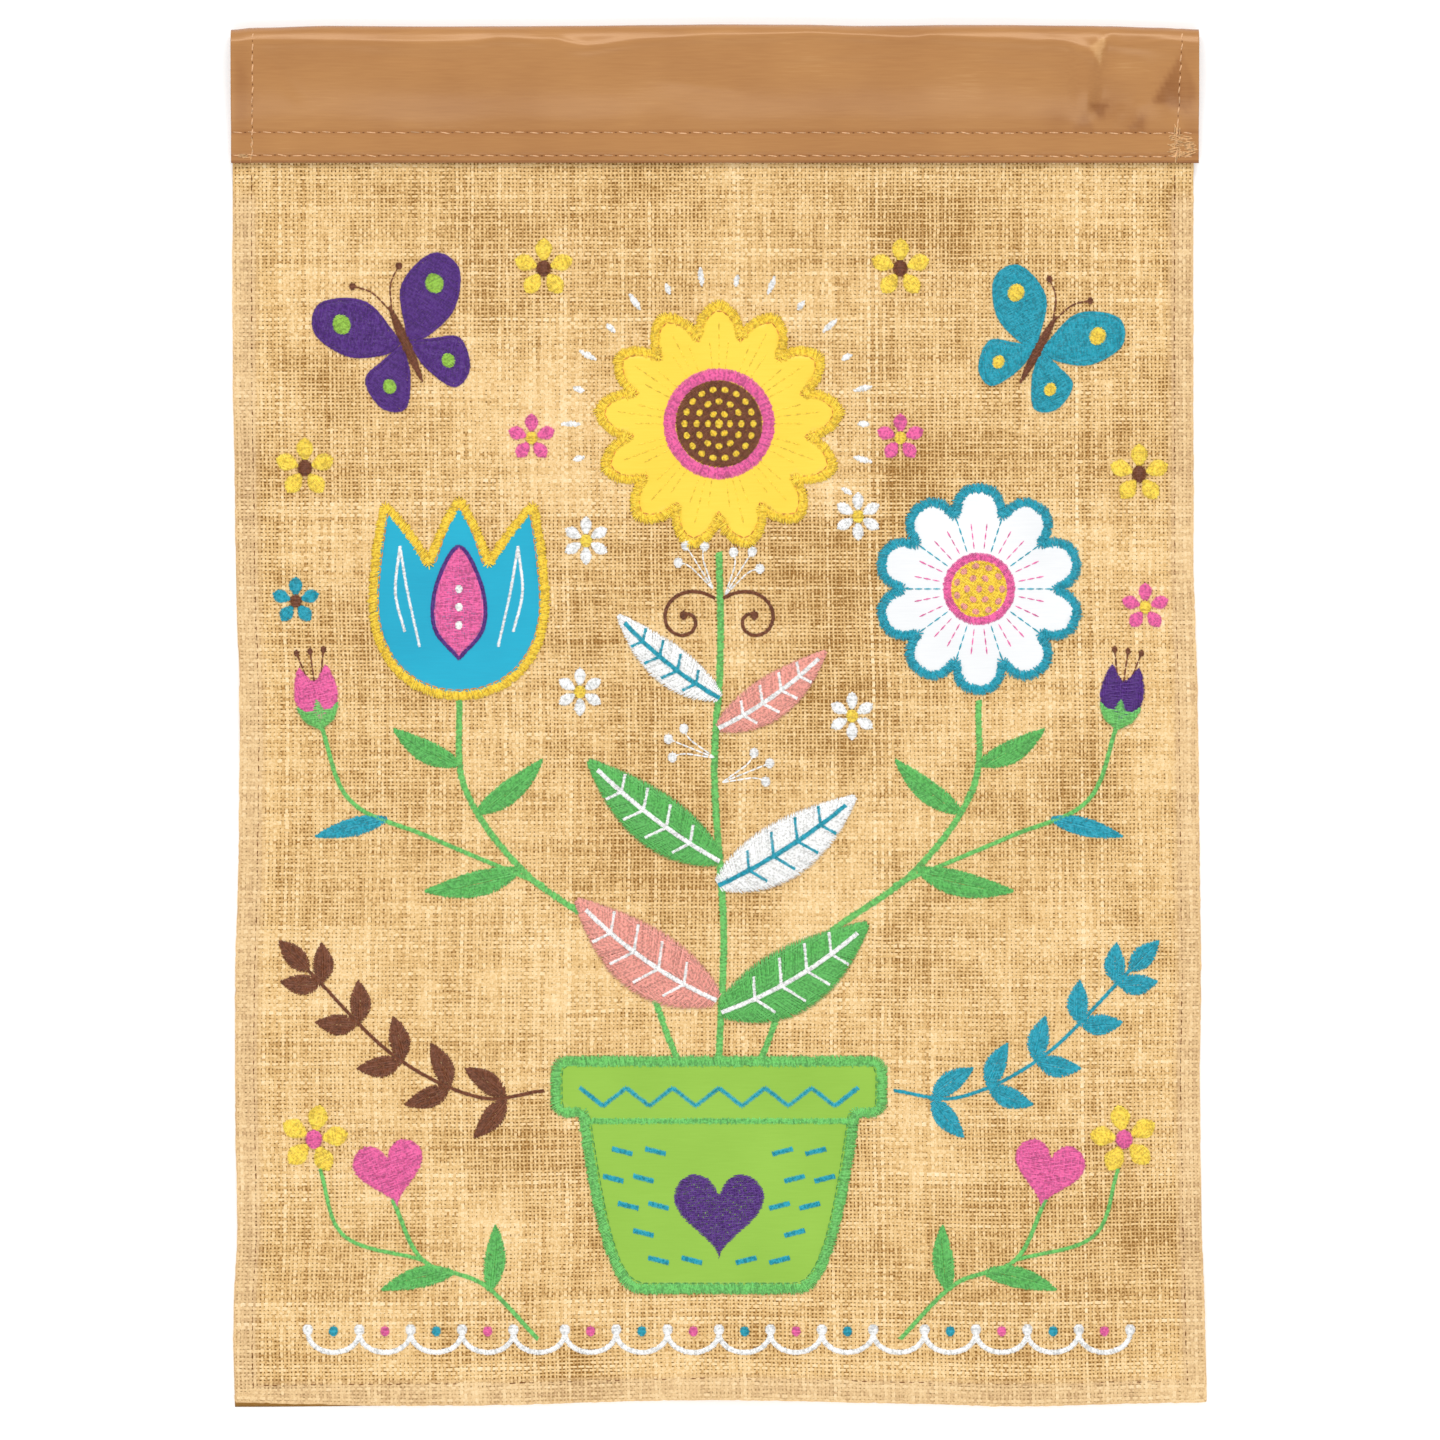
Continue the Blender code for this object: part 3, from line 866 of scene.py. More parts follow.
def fill(colour, outline, angle=0.0, longest=5.5, layer=0.0, ragged=0.10, rise=0.30, under=True):
    """Fills a closed outline with thread over a flat crosswise underlay."""
    if under:
        lay_under(colour, shrunk(outline, 0.5), angle + 90.0, layer)
    starts, ends = fill_rows(outline, angle, STITCH_PITCH, longest, 0.5)
    if not len(starts):
        return
    starts = starts + stitch_random.normal(0.0, ragged, (len(starts), 2)) * (1.0, 0.3)
    ends = ends + stitch_random.normal(0.0, ragged, (len(ends), 2)) * (1.0, 0.3)
    sew(colour, turned(starts, angle), turned(ends, angle), rise, layer=layer + 0.06)


def circle(centre, radius, count):
    """A round outline of that many corners."""
    turn = np.linspace(0.0, 2 * math.pi, count, endpoint=False)
    return np.asarray(centre) + radius * np.stack([np.cos(turn), np.sin(turn)], axis=1)


def dot(colour, centre, radius, layer=0.0, angle=0.0):
    """A small filled round."""
    fill(colour, circle(centre, radius, 16), angle, 8.0, layer, 0.05, 0.42, False)


def seeds(colour, centre, rings):
    """Dots in rings, each ring given as its radius, its count and its turn in places."""
    for radius, count, shift in rings:
        for number in range(count):
            turn = 2 * math.pi * (number + shift) / count
            place = centre + radius * np.array([math.cos(turn), math.sin(turn)])
            dot(colour, place, 1.15, 0.45, math.degrees(turn))


def swelling(width, first, span):
    """A stitch width that swells from a line's ends to its middle."""
    return lambda share: width * np.sin(math.pi * (first + span * share))


def mirrored(points, sign):
    """Points as they are, or with their left and right changed for a sign of -1."""
    return [(x * sign, y) for x, y in points]


def both_halves(half):
    """A closed outline from its right half, which begins and ends on the middle line."""
    return half + mirrored(half[-2::-1], -1)


def leaf_half(share, width):
    """A leaf's half width at a share of its length."""
    return width / 2 * np.sin(math.pi * (0.04 + 0.955 * share) ** 0.85) ** 0.85


def leaf(colour, base, tip, width, bend=0.0, vein=None, layer=0.0):
    """A lens-shaped leaf, its threads slanting from the midrib to the edge, with veins on top."""
    base, tip = np.asarray(base, float), np.asarray(tip, float)
    axis = tip - base
    length = math.hypot(*axis)
    side = np.array([-axis[1], axis[0]]) / length

    def midrib(t):
        """Places at shares of the leaf's bent middle line."""
        t = np.clip(t, 0.0, 1.0)[:, None]
        return base + axis * t + side * bend * 4 * t * (1 - t)

    t = np.linspace(0.0, 0.97, max(6, int(length / (STITCH_PITCH * 1.05))))
    lead = LEAF_LEAN * width / length
    reached = t + 4.0 * lead * t * (1.0 - t)
    under = t + 2.8 * lead * t * (1.0 - t)
    half = leaf_half(reached, width)
    rims = []
    for sign in (1.0, -1.0):
        edge = midrib(reached) + sign * side * half[:, None]
        rims.append(midrib(under) + sign * side * (leaf_half(under, width) * 0.88)[:, None])
        edge = edge + stitch_random.normal(0.0, 0.12, edge.shape)
        sew(colour, midrib(t) - sign * side * 0.15, edge, 0.32, layer=layer)
    heading = math.degrees(math.atan2(axis[1], axis[0]))
    lay_under(colour, np.concatenate([rims[0], rims[1][::-1]]), heading, layer)
    if vein is None:
        return
    over = layer + 0.35
    satin(vein, midrib(np.linspace(-0.05, 0.9, 12)), 1.7, layer=over, slant=0.1, ragged=0.06)
    for place in np.arange(0.2, 0.8, 0.17):
        reach = 0.72 * float(leaf_half(place, width))
        for sign in (1.0, -1.0):
            ahead = place + 0.32 * reach * 1.6 / length
            first, last = midrib(np.array([place, ahead]))
            last = last + sign * side * reach
            satin(vein, np.array([first, last]), 1.15, layer=over, slant=0.1, ragged=0.06)


def petal(colour, centre, angle, inner, outer, width, layer=0.0):
    """A rounded petal that points away from a centre, its threads lying across it."""
    t = np.linspace(0.0, 1.0, 14)
    half = width / 2 * np.sin(math.pi * t**1.25) ** 0.7
    reach = inner + (outer - inner) * t
    right = np.stack([reach, half], axis=1)
    outline = np.concatenate([right, (right * (1.0, -1.0))[::-1]])
    outline = turned(outline, angle, centre)
    fill(colour, outline, angle + 90.0, 9.0, layer, 0.08)


def blossom(colour, heart_colour, centre, radius, petals=5, angle=90.0, layer=0.0):
    """A small flower of separate petals round a dot."""
    for number in range(petals):
        width = 3.1 * radius / petals
        petal(colour, centre, angle + 360.0 * number / petals, radius * 0.2, radius, width, layer)
    dot(heart_colour, centre, radius * 0.27, layer + 0.3)


def heart(colour, centre, size, angle=0.0, layer=0.0):
    """A filled heart, its threads lying across it in two halves."""
    t = np.linspace(0.0, 2 * math.pi, 40, endpoint=False)
    wide = 16 * np.sin(t) ** 3
    tall = 13 * np.cos(t) - 5 * np.cos(2 * t) - 2 * np.cos(3 * t) - np.cos(4 * t)
    outline = turned(np.stack([wide, tall], axis=1) / 32.0, angle, centre, size)
    fill(colour, outline, angle + 8.0, 7.0, layer)


def tendril(colour, start, angle, size, turns=1.4, side=1.0, width=1.3):
    """A curl that winds in on itself, ending in a dot."""
    t = np.linspace(0.0, 1.0, 60)
    winding = side * turns * 2 * math.pi * t**1.2
    heading = math.radians(angle) + winding
    step = size * (1.0 - 0.78 * t) * 0.085
    x = np.concatenate([[0.0], np.cumsum(np.cos(heading[:-1]) * step[:-1])])
    y = np.concatenate([[0.0], np.cumsum(np.sin(heading[:-1]) * step[:-1])])
    line = np.stack([x, y], axis=1) + np.asarray(start)
    satin(colour, line, width, slant=0.3, ragged=0.06)
    dot(colour, line[-1], 1.5)


def sprig(colour, line, leaf_colour, count, length, width):
    """A stem with leaves in pairs along it, and one at its tip."""
    line = flow(line)
    satin(colour, line, 1.3, slant=0.3, ragged=0.06)
    places, share = resample(line, 1.0)
    along, across = directions(places)
    for number in range(count):
        at = int((0.15 + (0.94 - 0.15) * number / (count - 1)) * (len(places) - 1))
        for sign in (1.0, -1.0):
            base = places[at] + across[at] * sign * 0.5
            heading = along[at] * 0.8 + across[at] * sign * 0.75
            heading = heading / math.hypot(*heading)
            reach = length * (1.0 - 0.25 * share[at])
            leaf(leaf_colour, base, base + heading * reach, width, sign * 0.6)
    leaf(leaf_colour, places[-1], places[-1] + along[-1] * length * 0.8, width)


# A butterfly's right wings: outline, slope in degrees, place of the spot and its radius
UPPER_WING = [(1.5, 1), (6, 15), (18, 20), (23, 13), (17, 3), (7, -1), (1.5, 0)]
LOWER_WING = [(1.5, -1), (8, -3), (15, -6), (14, -15), (8, -18), (3, -10), (1.5, -3)]
WING_ROWS = ((UPPER_WING, 34.0, (15.0, 12.0), 3.0), (LOWER_WING, -38.0, (9.5, -10.5), 2.2))
FEELER = [(0.3, 10.0), (3.0, 17.0), (7.5, 21.0)]

# Right halves of closed outlines
BUD_HALF = [(0, 0), (5, 3), (6.5, 9), (4, 16), (0, 12)]
CALYX_HALF = [(0, -2.5), (4.5, 0.5), (6.0, 5.0), (2.5, 3.2), (0, 6.5)]
TULIP_HALF = [(0, -20), (8, -10), (7.5, 4), (0, 17)]


def butterfly(centre, size, angle, wing, spot, body):
    """A butterfly seen from above, four filled wings with spots."""
    for sign in (1.0, -1.0):
        for outline, slope, place, radius in WING_ROWS:
            shape = turned(flow(outline) * (sign, 1.0), angle, centre, size)
            fill(wing, shape, angle + sign * slope + 90.0, 6.0)
            satin(wing, shape, 1.1, slant=0.2, layer=0.12, ragged=0.05)
            middle = turned(mirrored([place], sign), angle, centre, size)[0]
            dot(spot, middle, radius * size, 0.35, angle)
    spine = turned([(0.0, 11.0), (0.0, 0.0), (0.0, -13.0)], angle, centre, size)
    satin(body, spine, swelling(3.4 * size, 0.08, 0.86), layer=0.2)
    for sign in (1.0, -1.0):
        feeler = turned(flow(mirrored(FEELER, sign)), angle, centre, size)
        running(body, feeler, 2.2, 0.0, 0.36)
        dot(body, feeler[-1], 1.1 * size)


def breath(colour, base, angle, size):
    """A fine spray of three twigs, each ending in a dot."""
    for turn, reach in ((-26.0, 0.85), (0.0, 1.0), (26.0, 0.85)):
        twig = turned([(0.0, 0.0), (size * 0.5, 0.0)], angle, base)
        end = turned([(size * reach, 0.0)], angle + turn * 0.8, base)
        running(colour, np.concatenate([twig[:1], (twig[1:] + end) / 2, end]), 2.4, 0.0, 0.36)
        dot(colour, end[0], 1.7, 0.1)


def bud(colour, base, angle, size, calyx, tips):
    """A closed bud on its calyx, with short stamens."""
    outline = turned(flow(both_halves(BUD_HALF)), angle, base, size)
    for x in (-2.6, 0.0, 2.6):
        stamen = turned([(x * 0.6, 11.0), (x * 1.5, 20.5)], angle, base, size)
        running(tips, stamen, 3.0, 0.0, 0.36)
        dot(tips, stamen[-1], 1.05)
    fill(colour, outline, angle + 6.0, 9.0, 0.1)
    cup = turned(flow(both_halves(CALYX_HALF)), angle, base, size)
    fill(calyx, cup, angle, 9.0, 0.35)


# The design on the face
def patch_centre(name):
    """The middle of a patch's node, in millimetres."""
    low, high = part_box(name)
    return np.array([(low.x + high.x) / 2, (low.y + high.y) / 2]) / MM


def sew_borders():
    """Satin borders that hold the patches, some with a thin thread line of painted shade along their
    inner edge.
    """
    for name, _, _, _, colour, width, inner in PATCH_ROWS:
        if inner:
            line = shrunk(patch_outlines[name], width / 2 + 0.75)
            running(inner, np.concatenate([line, line[:1]]), 2.6, 0.0, 0.30, 0.0, 0.16)
        outline = shrunk(patch_outlines[name], 0.6)
        satin(colour, outline, width, closed=True, slant=0.3, rise=0.62, ragged=0.22)


SUNFLOWER_PETALS = 13
SUNFLOWER_SEEDS = ((3.6, 6, 1.0), (7.4, 12, 0.0), (11.4, 18, 1.0))
SUN_RAYS = 26
SUN_RAY_REACHES = (49.5, 52.0)
SUN_RAYS_FROM = -24.0
DAISY_PETALS = 10
DAISY_SEEDS = ((0.0, 1, 0.0), (4.0, 6, 0.0), (7.6, 11, 0.0))


def sew_sunflower():
    """Lines on the petals, the seeds in their ring, and white rays round the top of the patch."""
    centre = patch_centre("applique_sunflower")
    for number in range(SUNFLOWER_PETALS):
        angle = 90.0 - 360.0 * number / SUNFLOWER_PETALS
        for shift, reach in ((0.0, 34.0), (-6.5, 28.0), (6.5, 28.0)):
            line = turned([(18.0, 0.0), (reach, 0.0)], angle + shift, centre)
            running("gold", line, 3.0, 0.0, 0.34)
    satin("pink", circle(centre, 16.4, 60), 4.6, closed=True, slant=0.2, rise=0.5, layer=0.1)
    fill("brown", circle(centre, 14.6, 48), 35.0, 4.0, 0.1)
    seeds("gold", centre, SUNFLOWER_SEEDS)
    dot("gold", centre, 1.5, 0.45)
    for number in range(SUN_RAYS):
        angle = 90.0 - 360.0 * (number + 0.5) / SUN_RAYS
        line = turned([(46.0, 0.0), (SUN_RAY_REACHES[number % 2], 0.0)], angle, centre)
        if line[:, 1].min() > centre[1] + SUN_RAYS_FROM:
            satin("white", line, swelling(2.3, 0.12, 0.76), slant=0.1)


def sew_daisy():
    """Lines between and on the petals, and the heart in its ring."""
    centre = patch_centre("applique_daisy")
    for number in range(DAISY_PETALS):
        notch = 90.0 - 360.0 * (number + 0.5) / DAISY_PETALS
        running("turquoise", turned([(12.5, 0.0), (24.5, 0.0)], notch, centre), 3.0, 0.0, 0.36)
        for shift in (-7.0, 7.0):
            line = turned([(13.0, 0.0), (22.0, 0.0)], notch + 18.0 + shift, centre)
            running("pink", line, 3.0, 0.0, 0.34)
    satin("pink", circle(centre, 10.6, 50), 3.2, closed=True, slant=0.2, rise=0.5, layer=0.1)
    fill("gold", circle(centre, 9.6, 40), -30.0, 4.0, 0.1)
    seeds("salmon", centre, DAISY_SEEDS)


def sew_tulip():
    """The middle petal with its dots, and two white lines on each outer petal."""
    centre = patch_centre("applique_tulip")
    middle = flow(both_halves(TULIP_HALF)) + centre
    fill("pink", middle, 0.0, 6.0, 0.0)
    satin("purple", middle, 1.5, slant=0.2, layer=0.2, ragged=0.06)
    for sign in (1.0, -1.0):
        for shift in (0.0, 5.0):
            line = [(13.0 + shift, -16.0 + shift), (17.0 + shift * 0.8, 2.0), (19.5, 17.0)]
            line = flow(mirrored(line, sign)) + centre
            satin("white", line, 1.2, slant=0.1, ragged=0.05)
    for height in (-9.0, -3.0, 3.0):
        dot("white", centre + (0.0, height), 1.4, 0.4)


# Dashes on the pot: the height of a row and its places to each side of the middle
POT_DASHES = (
    (8.0, (21, 32)),
    (-1.0, (25, 35)),
    (-10.0, (20, 30)),
    (-19.0, (25,)),
    (-28.0, (9, 20)),
)
DASH_HALF = np.array([3.2, 0.8])
ZIGZAG_STEP = 7.66


def sew_pot():
    """A heart, a zigzag on the rim, and rows of dashes."""
    centre = patch_centre("applique_pot")
    heart("purple", centre + (0.0, -11.0), 31.0)
    zigzag = np.arange(-46, 47, ZIGZAG_STEP)
    zigzag = [(x, 26.0 + 3.0 * (-1) ** number) for number, x in enumerate(zigzag)]
    satin("turquoise", np.array(zigzag) + centre, 2.0, slant=0.1, ragged=0.06)
    satin("green", np.array([(-45.0, 18.0), (45.0, 18.0)]) + centre, 2.4, slant=0.1, rise=0.5)
    for sign in (1.0, -1.0):
        for height, places in POT_DASHES:
            for x in places:
                dash = np.array([(x, height) - DASH_HALF, (x, height) + DASH_HALF])
                dash = dash * (sign, 1.0) + centre
                satin("turquoise", dash, 2.1, slant=0.1, rise=0.5, ragged=0.06)


# Big leaves: colour, base, tip, width, bend and vein colour
BIG_LEAVES = (
    ("leaf", (1, -98), (50, -68), 23.0, -3.0, "white"),
    ("salmon", (-1, -94), (-48, -60), 23.0, 3.0, "white"),
    ("white", (0, -56), (46, -26), 20.0, -2.0, "turquoise"),
    ("leaf", (0, -48), (-44, -14), 19.0, 2.0, "white"),
    ("salmon", (0, -4), (36, 22), 15.0, -2.0, "white"),
    ("white", (0, 6), (-34, 34), 14.0, 2.0, "turquoise"),
)
BIG_LEAF_LAYER = 0.35

# Small leaves of the right side stem: base, tip, width and bend
SMALL_LEAVES = (
    ((66, -51), (98, -58), 9.0, -1.5),
    ((80, -32), (58, -14), 8.0, 1.5),
    ((86, -16), (108, -4), 8.0, -1.5),
)
MIDDLE_STEM = [(0, -113), (1.5, -70), (-1.5, -20), (0.5, 20), (0, 54)]
SIDE_STEM = [(14, -113), (30, -78), (64, -52), (84, -24), (86, 5)]


def sew_stems():
    """Stems from the pot to the three big flowers, and their leaves."""
    satin("green", flow(MIDDLE_STEM), 2.5, slant=0.3)
    for sign in (1.0, -1.0):
        satin("green", flow(mirrored(SIDE_STEM, sign)), 2.3, slant=0.3)
    for row in BIG_LEAVES:
        leaf(*row, BIG_LEAF_LAYER)
    for sign in (1.0, -1.0):
        for base, tip, width, bend in SMALL_LEAVES:
            leaf("leaf", *mirrored([base, tip], sign), width, sign * bend)


# Stems and sprigs of one side, mirrored for the other
SPRIG_LINE = [(-58, -124), (-80, -126), (-108, -112), (-136, -84)]
BUD_STEM = [(58, -56), (96, -40), (122, -28), (132, -2)]
LOW_STEM = [(60, -206), (78, -188), (98, -180), (108, -160)]
LOW_TWIG = [(98, -180), (124, -172), (132, -150)]

# White sprays by the middle stem: x, y and the way they point in degrees
BREATH_ROWS = ((2, 40, 58), (-2, 42, 122), (1, -22, 22), (-1, -14, 158))


def sew_sides():
    """Sprays, buds and small flowers beside the stems."""
    for sign, colour in ((1.0, "brown"), (-1.0, "turquoise")):
        sprig(colour, mirrored(SPRIG_LINE, sign), colour, 5, 17.0, 7.5)
    for sign, colour in ((1.0, "purple"), (-1.0, "pink")):
        satin("green", flow(mirrored(BUD_STEM, sign)), 1.6, slant=0.3, ragged=0.06)
        bud(colour, (sign * 132, -2), sign * -8.0, 1.15, "green", "brown")
        leaf("turquoise", (sign * 110, -34), (sign * 134, -40), 6.5)
        satin("green", flow(mirrored(LOW_STEM, sign)), 1.6, slant=0.3, ragged=0.06)
        leaf("leaf", (sign * 76, -190), (sign * 74, -168), 7.5, sign * 1.0)
        leaf("leaf", (sign * 88, -184), (sign * 112, -190), 7.5, sign * 1.0)
        heart("pink", (sign * 109, -150), 24.0, sign * -12.0)
        satin("green", flow(mirrored(LOW_TWIG, sign)), 1.4, ragged=0.06)
        blossom("yellow", "pink", (sign * 134, -140), 11.5, 5, 90.0 + sign * 10)
        tendril("brown", (sign * 1.5, 39), 90 - sign * 62, 14.0, 1.2, -sign)
    for x, y in ((-44, 58), (44, 0), (-46, 8), (46, 66)):
        blossom("white", "yellow", (x, y), 8.0, 6, 90.0)
    for x, y, turn in BREATH_ROWS:
        breath("white", (x, y), turn, 17.0)


# Small flowers round the top: x, y, radius, colour and heart
SKY_BLOSSOMS = (
    (-58, 148, 10.0, "yellow", "brown"),
    (60, 148, 10.0, "yellow", "brown"),
    (-137, 82, 10.0, "yellow", "brown"),
    (139, 80, 10.0, "yellow", "brown"),
    (-62, 92, 8.0, "pink", "yellow"),
    (60, 92, 8.0, "pink", "yellow"),
    (-140, 38, 8.0, "turquoise", "brown"),
    (141, 36, 8.0, "pink", "yellow"),
)


def sew_sky():
    """Butterflies and small flowers round the top flower."""
    butterfly((-104, 124), 1.12, 24.0, "purple", "lime", "brown")
    butterfly((106, 122), 1.02, -28.0, "turquoise", "yellow", "brown")
    for x, y, radius, colour, heart_colour in SKY_BLOSSOMS:
        blossom(colour, heart_colour, (x, y), radius, 5, 90.0)


# The row of scallops, and the ones where a stem ends, which have no dot
SCALLOP_STEP = 17.0
SCALLOPS = 16
SCALLOP_FLATNESS = 2.6
SCALLOP_LEVEL = -204.0
STEM_SCALLOPS = (4, 11)


def sew_ground():
    """White scallops with dots along the bottom."""
    first = -SCALLOP_STEP * SCALLOPS / 2
    turn = np.linspace(math.pi, 2 * math.pi, 16)
    deep = np.sin(turn) * SCALLOP_STEP / SCALLOP_FLATNESS
    arc = np.stack([np.cos(turn) * SCALLOP_STEP / 2, deep], axis=1)
    for number in range(SCALLOPS):
        middle = first + SCALLOP_STEP * (number + 0.5)
        satin("white", arc + (middle, SCALLOP_LEVEL), 1.9, slant=0.15, ragged=0.06)
        if number not in STEM_SCALLOPS:
            dot("pink" if number % 2 else "turquoise", (middle, SCALLOP_LEVEL + 0.5), 1.7)
    for number in range(SCALLOPS + 1):
        dot("white", (first + SCALLOP_STEP * number, SCALLOP_LEVEL + 1.0), 1.9)


# Thread colours as they look on screen
THREADS = {
    "white": (254, 254, 252),
    "gold": (255, 214, 58),
    "yellow": (255, 220, 78),
    "turquoise": (10, 164, 186),
    "pink": (238, 104, 170),
    "salmon": (238, 164, 150),
    "green": (118, 204, 106),
    "leaf": (96, 188, 92),
    "lime": (160, 206, 74),
    "purple": (84, 30, 132),
    "brown": (120, 62, 24),
    # Threads that stand as painted shade along the inner edge of patch borders
    "amber": (216, 136, 36),
    "forest": (72, 146, 62),
}
SEAM_THREADS = {
    "sleeve": (228, 178, 130),
    "tacks": (222, 174, 118),
    "hem": (128, 80, 38),
}
# Dark marks that stand as painted shade in the needle holes
NEEDLE_HOLE_SHADE = (98, 52, 22)


def build_design(random):
    """Every embroidered thread of the face, one piece for each colour."""
    patches = (sew_borders, sew_sunflower, sew_daisy, sew_tulip, sew_pot)
    for part in (*patches, sew_stems, sew_sides, sew_sky, sew_ground):
        part()
    made = []
    for colour in sorted(sewn):
        finish = thread_material("thread_" + colour, THREADS[colour])
        stitches = np.concatenate(sewn[colour])
        made.append(build_stitches("embroidery_" + colour, stitches, finish, random))
    return made


# Patches
PATCH_STEP = 2.6
PUCKER_INSET = 3.4
PUCKER_HALF = 1.6
PUCKER = 0.10
PATCH_PUFF = 0.14
PATCH_PUFF_REACH = 12.0
PATCH_INSET = 0.8
RIM_STEP = 1.8


def build_patch(name, colour, shade, random):
    """A thin satin patch lying on the weave, slightly puckered by its border."""
    outline = patch_outlines[name]
    outline, _ = resample(np.concatenate([outline, outline[:1]]), RIM_STEP)
    outline = shrunk(outline[:-1], PATCH_INSET)
    low, high = outline.min(0), outline.max(0)
    across, up = (np.arange(low[axis], high[axis], PATCH_STEP) for axis in (0, 1))
    v, u = np.meshgrid(up, across)
    grid = np.stack([u.ravel(), v.ravel()], axis=1)
    gap = np.hypot(*(grid[:, None] - outline[None]).transpose(2, 0, 1)).min(1)
    grid = grid[inside(outline, *grid.T) & (gap > PATCH_STEP * 0.6)]
    rim = len(outline)
    corners = [Vector(point) for point in np.concatenate([outline, grid])]
    edges = [(index, (index + 1) % rim) for index in range(rim)]
    points, _, faces, *_ = delaunay_2d_cdt(corners, edges, [list(range(rim))], 1, 0.0001)
    points = np.array([tuple(point) for point in points])
    gap = np.hypot(*(points[:, None] - outline[None]).transpose(2, 0, 1)).min(1)
    pucker = PUCKER * np.exp(-(((gap - PUCKER_INSET) / PUCKER_HALF) ** 2))
    pucker = pucker * random.normal(1.0, 0.6, len(points))
    level = PATCH_LEVEL + PATCH_PUFF * smooth(gap / PATCH_PUFF_REACH) + pucker
    top = np.concatenate([points, (level + PATCH_CLOTH)[:, None]], axis=1)
    under = np.concatenate([points, level[:, None]], axis=1)
    count = len(points)
    faces = np.array(faces)
    places = np.arange(rim)
    after = (places + 1) % rim
    wall = np.stack([places, after, after + count, places + count], axis=-1)
    surface = (colour, shade, PATCH_THREADS, PATCH_ROUGHNESS)
    finish = satin_material(name.replace("applique", "satin"), *surface)
    faces = [faces, faces[:, ::-1] + count, wall]
    vertices = np.concatenate([top, under])
    made = mesh_object(name.replace("applique", "patch"), vertices, faces, finish)
    fix_normals(made)
    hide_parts(name)
    x, y = outline.T
    area = abs(np.dot(x, np.roll(y, -1)) - np.dot(y, np.roll(x, -1))) / 2
    return made, outline, area


def fix_normals(made):
    """Turns a closed mesh's faces outwards."""
    builder = bmesh.new()
    builder.from_mesh(made.data)
    bmesh.ops.recalc_face_normals(builder, faces=builder.faces)
    builder.to_mesh(made.data)
    builder.free()


# The sleeve along its length, as in the solid: where its fold lies, how high its crest stands, how
# far the crest sits from the fold, and how far the front sinks between the crest and the seam.
# Columns: x, fold, crest, setback, sink
SLEEVE_ROWS = (
    (-161.3, 226.7, 7.7, 6.0, 0.2),
    (-152.0, 227.5, 7.9, 5.0, 0.3),
    (-129.0, 228.1, 8.1, 6.0, 0.7),
    (-94.0, 227.9, 8.4, 7.5, 0.2),
    (-69.0, 228.0, 8.0, 5.0, 0.5),
    (-46.0, 228.1, 8.5, 9.0, 0.9),
    (-20.0, 228.4, 8.0, 5.5, 0.4),
    (0.0, 228.6, 8.2, 4.2, 0.2),
    (27.0, 228.5, 8.0, 4.0, 0.3),
    (47.0, 228.1, 8.3, 4.2, 0.7),
    (61.0, 228.2, 7.8, 6.5, 0.3),
    (75.0, 228.4, 8.3, 4.2, 0.2),
    (93.0, 228.4, 8.2, 5.0, 0.5),
    (113.0, 228.2, 8.0, 7.0, 0.8),
    (121.0, 228.1, 8.7, 10.0, 0.1),
    (128.0, 228.0, 8.0, 5.0, 0.9),
    (145.0, 227.5, 7.8, 5.0, 0.6),
    (158.6, 226.8, 7.6, 6.0, 0.2),
)
SEAM_Y = 192.9
POCKET_DEPTH = 35.0
SLEEVE_DEPTH = 45.0
LOWER_STITCH_DEPTH = 42.6
LIP_TOP = 3.6
NOSE_BOTTOM_RADIUS = 3.0
NOSE_LEVEL = 0.45
PLATEAU = 1.8
SATIN_CLOTH = 0.32
CLOTH_HALF = SATIN_CLOTH / 2
BACK_LEVEL = 0.18
END_FOLDS = 0.9
RIPPLE = 0.16
RIPPLE_PLACES = (0, 12, 24, 40)
RELIEF_FROM = 17
RELIEF_LEFT_OUT = 8
RIPPLE_REACH = 14.0
BACK_INSET = 1.2
NOSE_TURN = math.pi * 0.28
SEAM_DIMPLE = 0.42
SEAM_DIMPLE_HALF = 0.75
SEAM_BEAT = 0.28
# Painted shade: how much darker the cloth is painted along the seams and the lower lip's edge, and
# near the fold (share and reach)
SEAM_PAINTED_SHADE = 0.30
LIP_PAINTED_SHADE = 0.60
FOLD_PAINTED_SHADE = ((0.12, 2.6), (0.5, 1.1))

# Where the sleeve's ends are turned in, and the width over which they thin out
TURNED_IN = (-154.3, 151.6)
TURNED_STEP = 0.8

# Places across the lips, as distances from the fold, and the heights of their edge
LIP_PLACES = (35.6, 36.4, 37.6, 39.0, 40.4, 41.4, 42.0, 42.6, 43.2, 44.0, 44.6)
LIP_EDGE = 44.95
LIP_DROPS = (0.32, 0.62)
LIP_UNDER_DROP = 0.80
LIP_UNDER = (44.4, 36.6)
LIP_WAVE = 0.05
LIP_SPAN = 8.0

# How many rows of places go round the back, each part of the fold, the ridge, front and lip
BACK_STEPS = 12
NOSE_STEPS = 6
RIDGE_STEPS = 17
FRONT_STEPS = 16
LIP_STEPS = 6

# Places along the sleeve: its left end, the even run, its right end
SLEEVE_LEFT = (-161.3, -161.0)
SLEEVE_RUN = (-160.4, 158.0, 1.3)
SLEEVE_RIGHT = (158.3, 158.6)

# Seams: stitch pitches, the thread's share of a pitch, its slant and shake, and the needle holes'
# painted shade
SLEEVE_STITCH = 4.9
SLEEVE_END_SEAMS = ((-154.0, -154.4), (152.9, 151.1))
END_STITCH = 3.4
SEAM_SHARE = 0.66
SEAM_SLANT = 0.16
SEAM_SHAKE = 0.12
HOLE_HALF = 0.40
HEM_STITCH = 3.1
HEM_STITCH_SHARE = 0.68
HEM_STITCH_LEVEL = 0.10
HEM_STITCH_SHAKE = 0.09
SIDE_STITCH_DROP = -0.06
BOTTOM_STITCH_DROP = 0.15
BOTTOM_STITCH_SHIFT = 0.8

